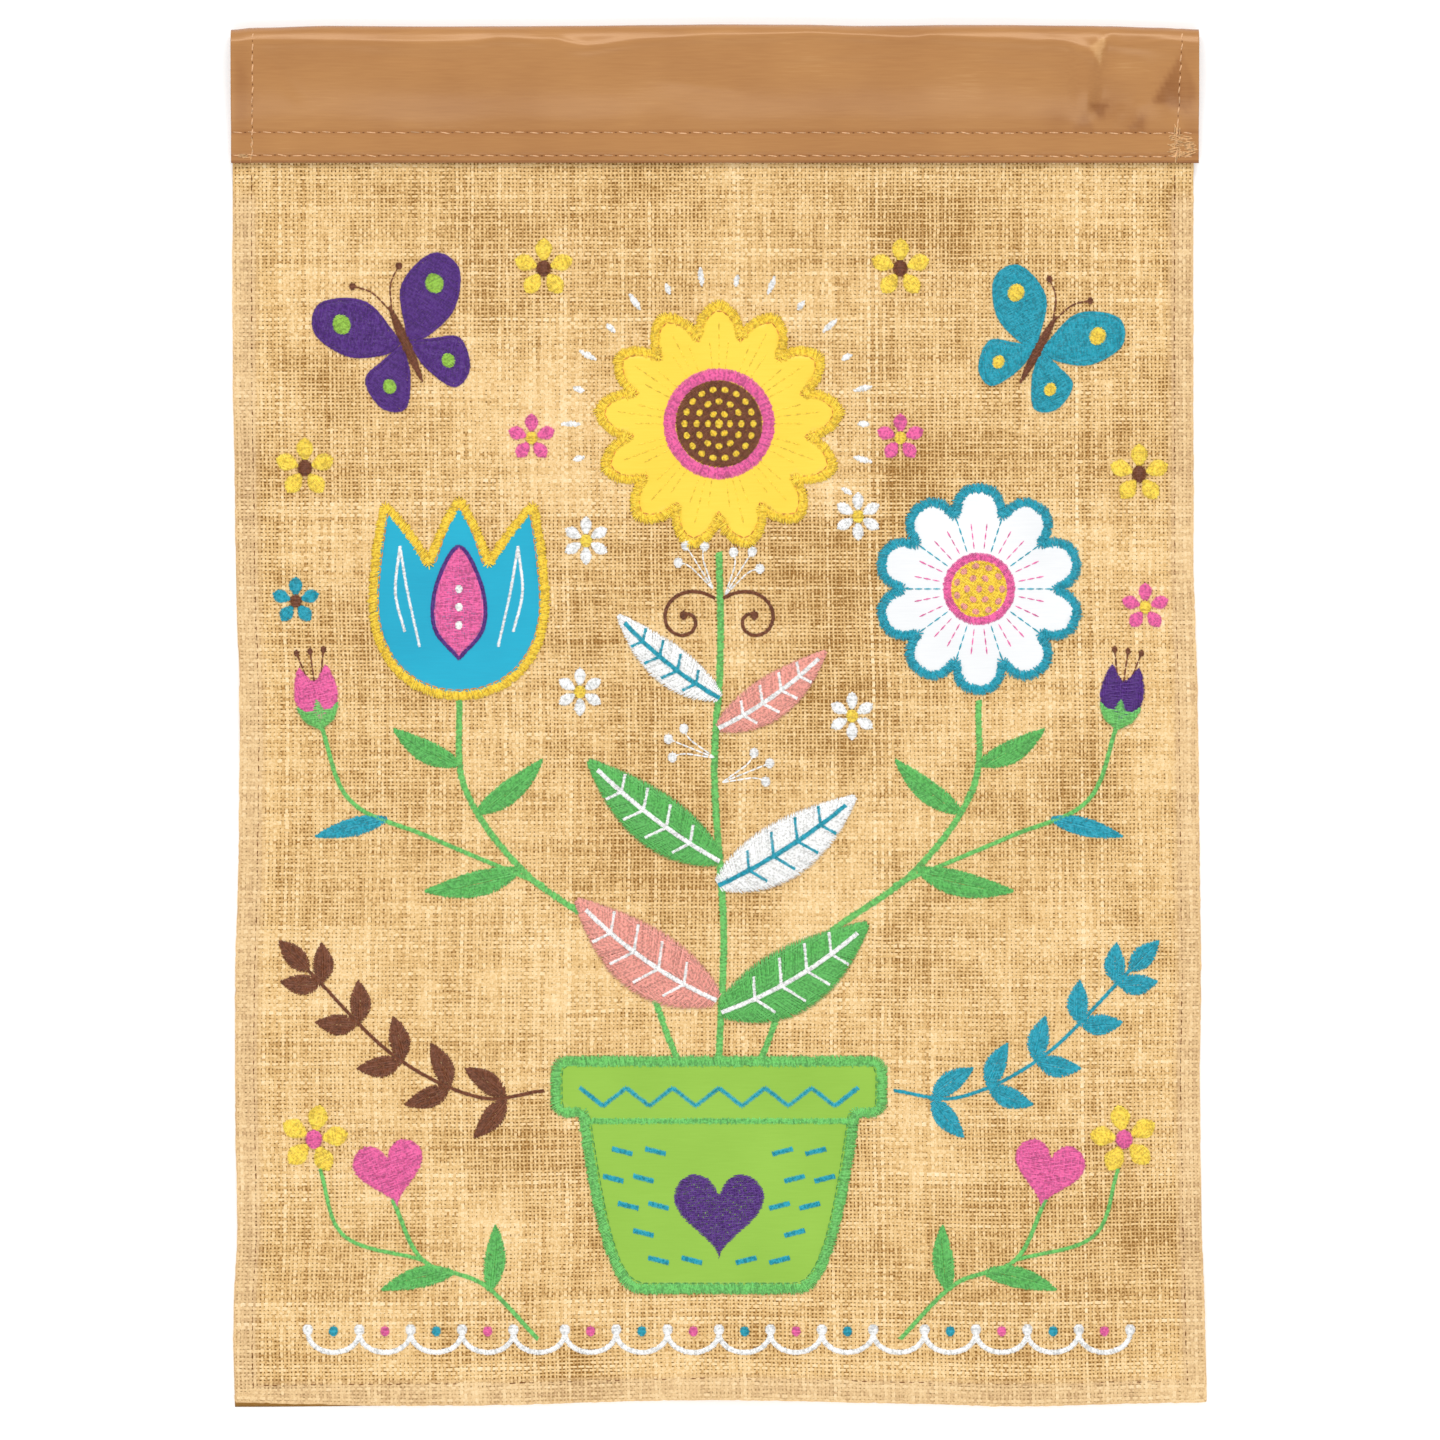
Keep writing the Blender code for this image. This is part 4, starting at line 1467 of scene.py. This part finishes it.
# Loose back-tack threads: left, right, low, high, turn and its spread in degrees, length, count
TACK_ROWS = (
    (149.6, 156.6, 184.2, 192.2, 4.0, 14.0, 3.2, 64),
    (150.6, 152.4, 184.0, 196.0, 88.0, 8.0, 3.4, 14),
    (-160.0, -156.0, 184.2, 185.6, 6.0, 12.0, 3.0, 6),
    (-155.0, -153.6, 184.2, 192.4, 88.0, 8.0, 3.0, 3),
)


def sleeve_values(x):
    """The sleeve's table read at many places at once."""
    table = np.array(SLEEVE_ROWS)
    step = np.clip(np.searchsorted(table[:, 0], x) - 1, 0, len(table) - 2)
    share = smooth((x - table[step, 0]) / (table[step + 1, 0] - table[step, 0]))[:, None]
    return (table[step] * (1 - share) + table[step + 1] * share)[:, 1:].T


def seam_dimple(distance, x):
    """How far the two stitch rows press the cloth in."""
    press = np.zeros(np.broadcast(distance, x).shape)
    for row in (POCKET_DEPTH, LOWER_STITCH_DEPTH):
        beat = 1.0 - SEAM_BEAT + SEAM_BEAT * np.cos(2 * math.pi * x / SLEEVE_STITCH)
        press = press + SEAM_DIMPLE * np.exp(-(((distance - row) / SEAM_DIMPLE_HALF) ** 2)) * beat
    return press


def sleeve_front(distance, crest, setback, sink):
    """The height of the sleeve's upper face at distances from the fold."""
    level = crest * NOSE_LEVEL
    out = np.clip((setback - distance) / (setback - CLOTH_HALF), 0.0, 1.0)
    share = np.clip((distance - setback) / (POCKET_DEPTH - setback), 0.0, 1.0)
    falling = 0.5 + 0.5 * np.cos(np.pi * share**PLATEAU)
    flat = LIP_TOP + (crest - LIP_TOP) * falling - sink * np.sin(np.pi * share) - CLOTH_HALF
    nose = level + (crest - CLOTH_HALF - level) * np.sqrt(1.0 - out**2)
    return np.where(distance < setback, nose, flat)


def sleeve_section(crest, setback, sink):
    """The middle of the sleeve's cloth, row by row: back, round fold, front, lips turned under.

    Returns each row's distance from the fold and its height, along the whole sleeve.
    """
    level = crest * NOSE_LEVEL
    back = np.linspace(SLEEVE_DEPTH - BACK_INSET, NOSE_BOTTOM_RADIUS, BACK_STEPS)
    rows = [(distance, BACK_LEVEL) for distance in back]
    for turn in np.linspace(0.0, math.pi / 2, NOSE_STEPS)[1:]:
        distance = NOSE_BOTTOM_RADIUS * (1 - math.sin(turn)) + CLOTH_HALF
        rows.append((distance, level - (level - BACK_LEVEL) * math.cos(turn)))
    for turn in np.linspace(0.0, NOSE_TURN, NOSE_STEPS)[1:]:
        distance = setback - (setback - CLOTH_HALF) * math.cos(turn)
        rows.append((distance, level + (crest - CLOTH_HALF - level) * math.sin(turn)))
    first = rows[-1][0]
    shares = np.linspace(0.0, 1.0, RIDGE_STEPS)[1:]
    front = [first + (RIDGE_REACH - first) * share for share in shares]
    for distance in (*front, *np.linspace(RIDGE_REACH, POCKET_DEPTH, FRONT_STEPS)[1:]):
        rows.append((distance, sleeve_front(distance, crest, setback, sink)))
    for distance in LIP_PLACES:
        wave = LIP_WAVE * math.sin(math.pi * (distance - POCKET_DEPTH) / LIP_SPAN)
        rows.append((distance, LIP_TOP - CLOTH_HALF + wave))
    rows += [(LIP_EDGE, LIP_TOP - drop) for drop in LIP_DROPS]
    rows += [(distance, LIP_TOP - LIP_UNDER_DROP) for distance in np.linspace(*LIP_UNDER, LIP_STEPS)]
    distances, heights = zip(*rows)
    distances = np.array([np.broadcast_to(row, crest.shape) for row in distances])
    return distances, np.array([np.broadcast_to(row, crest.shape) for row in heights])


def add_relief(x, distance, height, random):
    """Heights with the front's ripples, creases, ridge and stitch dimples."""
    along = np.arange(len(distance))[:, None]
    front = smooth((along - RELIEF_FROM) / 4.0) * (along < len(distance) - RELIEF_LEFT_OUT)
    ripple = soft_noise(random, len(RIPPLE_PLACES), len(x), RIPPLE_REACH)
    waves = [np.interp(distance[:, 0], RIPPLE_PLACES, line) for line in ripple.T]
    waves = np.stack(waves, axis=1)
    height = height + front * RIPPLE * waves * smooth((POCKET_DEPTH - distance) / 8.0)
    height = height + front * creases(x[None, :], distance)
    places, *values = np.array(RIDGE_ROWS).T
    path, tall, half = (np.interp(x, places, column) for column in values)
    side = np.where(distance < path, half, half * RIDGE_BACK)
    height = height + front * tall * np.exp(-(((distance - path) / side) ** 2))
    return height - front * seam_dimple(distance, x[None, :])


def build_sleeve(random):
    """The satin sleeve as thin cloth, thicker where its ends are turned in."""
    x = np.concatenate([SLEEVE_LEFT, np.arange(*SLEEVE_RUN), SLEEVE_RIGHT])
    fold, *section = sleeve_values(x)
    distance, height = sleeve_section(*section)
    height = add_relief(x, distance, height, random)
    stretch = np.maximum(0.0, 1.0 - distance / POCKET_DEPTH)
    y = SEAM_Y - (distance - POCKET_DEPTH) + (fold - SEAM_Y - POCKET_DEPTH) * stretch
    line = np.stack([np.broadcast_to(x, y.shape), y, height], axis=-1)
    step = np.gradient(line, axis=0)
    normal = np.stack([np.zeros(y.shape), -step[..., 2], step[..., 1]], axis=-1)
    normal = normal / np.maximum(np.linalg.norm(normal, axis=-1), 1e-9)[..., None]
    left, right = TURNED_IN
    turned_in = np.maximum(smooth((left - x) / TURNED_STEP), smooth((x - right) / TURNED_STEP))
    offset = normal * (CLOTH_HALF * (1.0 + END_FOLDS * turned_in))[None, :, None]
    outer = (line - offset).transpose(1, 0, 2)
    inner = (line + offset).transpose(1, 0, 2)
    ring = np.concatenate([outer, inner[:, ::-1]], axis=1)
    count, width, _ = ring.shape
    cap = np.arange(width // 2 - 1)
    cap = np.stack([cap, cap + 1, width - 2 - cap, width - 1 - cap], axis=-1)
    faces = [grid_faces(count, width, 0, True), cap, cap + (count - 1) * width]
    surface = (*SLEEVE_COLOURS, SLEEVE_THREADS, SLEEVE_ROUGHNESS, True)
    finish = satin_material("satin_sleeve", *surface)
    # The tone carries the sleeve's painted shade and painted highlight
    tone = painted_sleeve_shading(np.broadcast_to(x, y.shape), distance).T
    tone = np.concatenate([tone, tone[:, ::-1]], axis=1).ravel()
    made = mesh_object("sleeve_cloth", ring.reshape(-1, 3), faces, finish, tone)
    fix_normals(made)
    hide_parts("header_sleeve")
    return made


# The ridge pressed into the sleeve just below its fold: how far from the fold it runs, how
# high it stands, and how wide its upper side is. Its lower side is wider by RIDGE_BACK.
# Columns: x, distance, height, half width
RIDGE_ROWS = (
    (-161.0, 4.6, 0.30, 1.2),
    (-143.6, 5.3, 0.35, 1.2),
    (-128.7, 5.6, 0.42, 1.3),
    (-94.0, 5.6, 0.45, 1.3),
    (-79.0, 5.6, 0.40, 1.2),
    (-73.4, 4.4, 0.30, 1.0),
    (-62.5, 5.0, 0.42, 1.2),
    (-54.2, 4.6, 0.36, 1.1),
    (-49.3, 6.3, 0.50, 1.3),
    (-44.0, 7.4, 0.55, 1.4),
    (-38.0, 6.8, 0.50, 1.3),
    (-29.4, 5.6, 0.42, 1.3),
    (-19.5, 5.0, 0.38, 1.2),
    (-4.6, 4.3, 0.40, 1.2),
    (7.0, 4.4, 0.44, 1.3),
    (20.2, 3.6, 0.34, 1.1),
    (30.1, 2.8, 0.28, 1.0),
    (38.4, 3.1, 0.34, 1.1),
    (50.0, 3.6, 0.42, 1.2),
    (63.8, 4.3, 0.42, 1.2),
    (69.8, 3.6, 0.34, 1.1),
    (75.4, 4.5, 0.44, 1.2),
    (94.6, 5.3, 0.44, 1.3),
    (104.9, 5.8, 0.42, 1.3),
    (109.5, 5.2, 0.38, 1.2),
    (114.8, 5.8, 0.46, 1.4),
    (119.4, 7.4, 0.62, 1.9),
    (124.0, 10.0, 0.75, 2.4),
    (126.6, 5.4, 0.60, 1.4),
    (130.0, 6.0, 0.46, 1.3),
    (139.3, 6.3, 0.44, 1.3),
    (144.6, 5.4, 0.38, 1.2),
    (149.9, 4.7, 0.34, 1.1),
    (158.6, 5.4, 0.30, 1.1),
)
RIDGE_BACK = 1.6
RIDGE_REACH = 13.0

# Creases in the sleeve's front: x and distance from the fold at one end, the same at the other
# end, half width, and height, which is negative for a trough
CREASE_ROWS = (
    (124.6, 13.0, 127.6, 2.4, 1.0, 0.35),
    (129.8, 4.0, 128.6, 15.0, 1.7, -0.35),
    (132.0, 7.0, 150.0, 8.5, 1.8, 0.22),
    (142.0, 12.0, 150.0, 30.0, 2.4, -0.50),
    (136.0, 34.0, 140.0, 24.0, 1.8, 0.40),
    (120.0, 34.0, 127.0, 22.0, 2.2, -0.35),
    (130.0, 33.0, 133.5, 27.0, 1.2, 0.35),
    (-120.0, 10.0, -84.0, 12.0, 1.8, -0.25),
    (20.0, 14.0, 62.0, 11.0, 1.6, -0.22),
    (84.0, 12.0, 112.0, 16.0, 1.8, -0.25),
    (-20.0, 18.0, 8.0, 21.0, 1.8, 0.2),
    (-150.0, 8.0, -138.0, 24.0, 2.4, -0.3),
)


# Painted shade and painted light on the sleeve's wrinkles: x, distance from the fold, half sizes
# along and across, and the tone, which is painted shade below 0 and painted light above it
PAINTED_SHADING_SPOTS = (
    (149.0, 22.0, 5.0, 8.0, -0.14),
    (128.0, 27.0, 7.0, 4.0, -0.14),
    (138.0, 31.0, 5.0, 3.5, -0.14),
    (112.0, 30.0, 5.0, 3.0, -0.20),
    (134.0, 14.0, 6.0, 4.0, 0.16),
    (108.0, 20.0, 9.0, 7.0, 0.12),
    (40.0, 25.0, 22.0, 5.0, -0.14),
    (-30.0, 22.0, 26.0, 6.0, 0.10),
    (-90.0, 27.0, 24.0, 4.0, -0.14),
    (-140.0, 20.0, 12.0, 8.0, 0.10),
    (-157.5, 22.0, 2.4, 16.0, -0.20),
    (155.8, 24.0, 2.4, 16.0, -0.20),
)


# Painted shade and painted highlight on flat facets between the creases: x and distance from the
# fold of three corners, then the tone, painted shade below 0 and painted highlight above it
PAINTED_FACET_SHADING = (
    (152.6, 8.5, 143.0, 25.0, 153.0, 27.0, -0.50),
    (153.0, 8.5, 153.0, 30.0, 158.4, 22.0, -0.25),
    (122.4, 7.2, 127.8, 3.4, 126.0, 13.6, 0.42),
    (122.0, 26.0, 129.0, 25.0, 126.4, 31.0, -0.40),
    (134.0, 34.5, 141.0, 28.0, 141.0, 34.5, -0.34),
    (116.0, 34.5, 121.0, 28.5, 124.5, 34.5, -0.28),
    (-160.0, 8.0, -152.0, 24.0, -160.0, 32.0, -0.10),
)
FACET_EDGE = 0.9


def facets(x, distance):
    """The painted shade and painted highlight of the flat facets, each with crisp edges."""
    total = np.zeros(np.broadcast(x, distance).shape)
    for x0, d0, x1, d1, x2, d2, tone in PAINTED_FACET_SHADING:
        corners = np.array([(x0, d0), (x1, d1), (x2, d2)])
        middle = corners.mean(0)
        share = 1.0
        for first, second in zip(corners, np.roll(corners, -1, axis=0)):
            along = (second - first) / np.hypot(*(second - first))
            across = np.array([-along[1], along[0]])
            across = across * np.sign(np.dot(middle - first, across))
            depth = (x - first[0]) * across[0] + (distance - first[1]) * across[1]
            share = share * smooth(0.5 + depth / FACET_EDGE / 2)
        total = total + tone * share
    return total


def painted_sleeve_shading(x, distance):
    """The sleeve's painted light and shade on its wrinkles and facets, and painted shade along its
    seams, lower lip and fold.
    """
    total = 0.08 + facets(x, distance)
    for spot_x, spot_distance, half_x, half_distance, tone in PAINTED_SHADING_SPOTS:
        away = ((x - spot_x) / half_x) ** 2 + ((distance - spot_distance) / half_distance) ** 2
        total = total + tone * np.exp(-away)
    for row in (POCKET_DEPTH, LOWER_STITCH_DEPTH):
        total = total - SEAM_PAINTED_SHADE * np.exp(-(((distance - row) / 0.8) ** 2))
    total = total - LIP_PAINTED_SHADE * smooth((distance - 43.9) / 0.8)
    for share, reach in FOLD_PAINTED_SHADE:
        total = total - share * smooth(1.0 - distance / reach)
    return total


def creases(x, distance):
    """Soft ridges and troughs in the sleeve's front."""
    total = np.zeros(np.broadcast(x, distance).shape)
    for x0, d0, x1, d1, half, height in CREASE_ROWS:
        axis = np.array([x1 - x0, d1 - d0])
        length = math.hypot(*axis)
        share = ((x - x0) * axis[0] + (distance - d0) * axis[1]) / length**2
        off = ((x - x0) * axis[1] - (distance - d0) * axis[0]) / length
        ends = smooth((share + 0.15) / 0.35) * smooth((1.15 - share) / 0.35)
        total = total + height * np.exp(-((off / half) ** 2)) * ends
    return total


def seam_row(start, end, pitch, random):
    """Even machine stitches between two places, and dark marks of painted shade in the needle holes
    between them.
    """
    start, end = np.array(start, float), np.array(end, float)
    count = int(np.linalg.norm(end - start) / pitch)
    first = np.arange(count)[:, None] / count
    stitch_starts = start + (end - start) * first + random.normal(0.0, SEAM_SHAKE, (count, 2))
    stitch_ends = start + (end - start) * (first + SEAM_SHARE / count)
    stitch_ends = stitch_ends + random.normal(0.0, SEAM_SHAKE, (count, 2))
    unit = (end - start) / np.linalg.norm(end - start)
    middle = (stitch_ends[:-1] + stitch_starts[1:]) / 2
    lean = np.array([-unit[1], unit[0]]) * SEAM_SLANT
    hole = unit * HOLE_HALF
    return stitch_starts + lean, stitch_ends - lean, middle - hole, middle + hole


def face_of(made, points):
    """The height of a piece's upper face under each place, in millimetres."""
    mesh = made.data
    tree = BVHTree.FromPolygons([v.co for v in mesh.vertices], [f.vertices for f in mesh.polygons])
    down = Vector((0.0, 0.0, -1.0))
    above = 50.0
    heights = []
    for x, y in points:
        hit = tree.ray_cast(Vector((x, y, above)) * MM, down)[0]
        heights.append(hit.z / MM if hit else LIP_TOP)
    return np.array(heights)


def back_tacks(random):
    """Short loose threads where the sleeve's seams begin and end."""
    tacks = []
    for left, right, low, high, turn, spread, length, count in TACK_ROWS:
        for _ in range(count):
            angle = math.radians(random.normal(turn, spread))
            reach = length * random.uniform(0.7, 1.2) / 2
            middle = np.array([random.uniform(left, right), random.uniform(low, high)])
            step = np.array([math.cos(angle), math.sin(angle)]) * reach
            tacks.append((middle - step, middle + step))
    return tuple(np.array(ends) for ends in zip(*tacks))


def build_seams(sleeve, random):
    """The machine stitches of the sleeve and of the hems."""
    lower_y = SEAM_Y - (LOWER_STITCH_DEPTH - POCKET_DEPTH)
    rows = [
        ((-160.8, SEAM_Y), (158.2, SEAM_Y - 0.2), SLEEVE_STITCH),
        ((-160.8, lower_y), (158.2, lower_y - 0.3), SLEEVE_STITCH),
    ]
    rows += [((top, 225.6), (bottom, 183.6), END_STITCH) for top, bottom in SLEEVE_END_SEAMS]
    found = [seam_row(*row, random) for row in rows]
    starts, ends, hole_starts, hole_ends = (np.concatenate(part) for part in zip(*found))
    tack_starts, tack_ends = back_tacks(random)
    satin_finish = thread_material("thread_sleeve", SEAM_THREADS["sleeve"])
    tack_finish = thread_material("thread_tacks", SEAM_THREADS["tacks"])
    hole_shade_finish = thread_material("needle_hole_shade", NEEDLE_HOLE_SHADE, False)
    made = []
    # Columns: name, starts, ends, lift over the cloth, rise, radius, material
    for name, first, last, lift, rise, radius, finish in (
        ("sleeve_stitches", starts, ends, -0.04, 0.20, 0.27, satin_finish),
        ("sleeve_needle_hole_shade", hole_starts, hole_ends, -0.06, 0.08, 0.19, hole_shade_finish),
        ("sleeve_back_tacks", tack_starts, tack_ends, -0.04, 0.20, 0.21, tack_finish),
    ):
        first = np.column_stack([first, face_of(sleeve, first) + lift])
        last = np.column_stack([last, face_of(sleeve, last) + lift])
        made.append(one_size(name, first, last, rise, radius, finish, random))
    hem_finish = thread_material("thread_hem", SEAM_THREADS["hem"], False)
    return [*made, build_hem_stitches(hem_finish, random)]


def one_size(name, starts, ends, rise, radius, finish, random):
    """Stitches that all have the same rise and radius."""
    full = np.ones(len(starts))
    return spindles(name, starts, ends, full * rise, full * radius, finish, random)


def build_hem_stitches(finish, random):
    """The stitches along both side hems and the bottom hem, sunk into the weave."""
    starts, ends = [], []
    low = SHEET_LOW + HEM_STITCH_INSET
    left, right = SHEET_LEFT + HEM_STITCH_INSET, SHEET_RIGHT - HEM_STITCH_INSET
    up = np.arange(low, SLEEVE_LOWER_EDGE, HEM_STITCH)
    across = np.arange(left, right, HEM_STITCH)
    lines = (
        (np.full(len(up), left), up, SIDE_STITCH_DROP),
        (np.full(len(up), right), up, SIDE_STITCH_DROP),
        (across, np.full(len(across), low + BOTTOM_STITCH_SHIFT), BOTTOM_STITCH_DROP),
    )
    for u, v, drop in lines:
        x, y = on_sheet(u, v)
        level = ground(x, y) + sheet_top(u, v) + HEM_STITCH_LEVEL - drop
        level = level + random.normal(0.0, HEM_STITCH_SHAKE, len(x))
        line = np.stack([x, y, level], axis=1) + random.normal(0.0, 0.1, (len(x), 3)) * (1, 1, 0)
        step = np.diff(line, axis=0)
        starts.append(line[:-1])
        ends.append(line[:-1] + step * HEM_STITCH_SHARE)
    starts, ends = np.concatenate(starts), np.concatenate(ends)
    return one_size("hem_stitches", starts, ends, 0.18, 0.24, finish, random)


# Stage
WHITE = (1.0, 1.0, 1.0, 1.0)
FLOOR_COLOUR = (0.93, 0.93, 0.93, 1.0)
FLOOR_GLOW = 0.22
FLOOR_SIZE = 8.0
FLOOR_LEVEL = -0.2
WORLD_LIGHT = 0.64

# Lights: name, place in metres, size in metres, watts
LIGHT_ROWS = (
    ("key", (0.0, 2.10, 1.60), (2.8, 0.40), 34.0),
    ("fill", (0.0, -1.3, 1.8), (2.0, 1.2), 18.0),
)
CAMERA_LENS = 300.0
CAMERA_SENSOR = 36.0
CAMERA_X = 0.33
CAMERA_Y = -1.35
VIEW_FIELD = 476.4


def build_stage():
    """A plain pale floor, soft lights and the camera."""
    finish, _, shader = new_material("floor", *DULL_SURFACE)
    shader.inputs["Base Color"].default_value = FLOOR_COLOUR
    shader.inputs["Emission Color"].default_value = WHITE
    shader.inputs["Emission Strength"].default_value = FLOOR_GLOW
    bpy.ops.mesh.primitive_plane_add(size=FLOOR_SIZE, location=(0.0, 0.0, FLOOR_LEVEL * MM))
    floor = bpy.context.object
    floor.name = "floor"
    floor.data.materials.append(finish)
    world = bpy.data.worlds.new("studio")
    bpy.context.scene.world = world
    world.use_nodes = True
    background = world.node_tree.nodes["Background"]
    background.inputs["Color"].default_value = WHITE
    background.inputs["Strength"].default_value = WORLD_LIGHT
    for name, place, size, power in LIGHT_ROWS:
        light = bpy.data.lights.new(name, "AREA")
        light.shape = "RECTANGLE"
        light.size, light.size_y = size
        light.energy = power
        holder = bpy.data.objects.new(name, light)
        bpy.context.scene.collection.objects.link(holder)
        holder.location = place
        holder.rotation_euler = (-holder.location).to_track_quat("-Z", "Y").to_euler()
    camera = bpy.data.cameras.new("camera")
    camera.lens = CAMERA_LENS
    camera.sensor_width = CAMERA_SENSOR
    camera.clip_start = 0.01
    holder = bpy.data.objects.new("camera", camera)
    bpy.context.scene.collection.objects.link(holder)
    distance = VIEW_FIELD * CAMERA_LENS / CAMERA_SENSOR
    holder.location = (CAMERA_X * MM, CAMERA_Y * MM, distance * MM)
    bpy.context.scene.camera = holder
    bpy.context.scene.view_settings.view_transform = "Standard"


def main():
    """Builds every piece and rides it on the root."""
    random = np.random.default_rng(SEED)
    sheet = build_sheet(backing_gap_shade_material())
    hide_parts("burlap_panel")
    weave = build_weave(random)
    sleeve = build_sleeve(random)
    patches = [build_patch(name, *colours, random) for name, _, *colours, _, _, _ in PATCH_ROWS]
    threads = build_design(random) + build_seams(sleeve, random)
    for piece in (sheet, *weave, sleeve, *(patch for patch, _, _ in patches), *threads):
        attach(piece, "root")
    build_stage()


main()
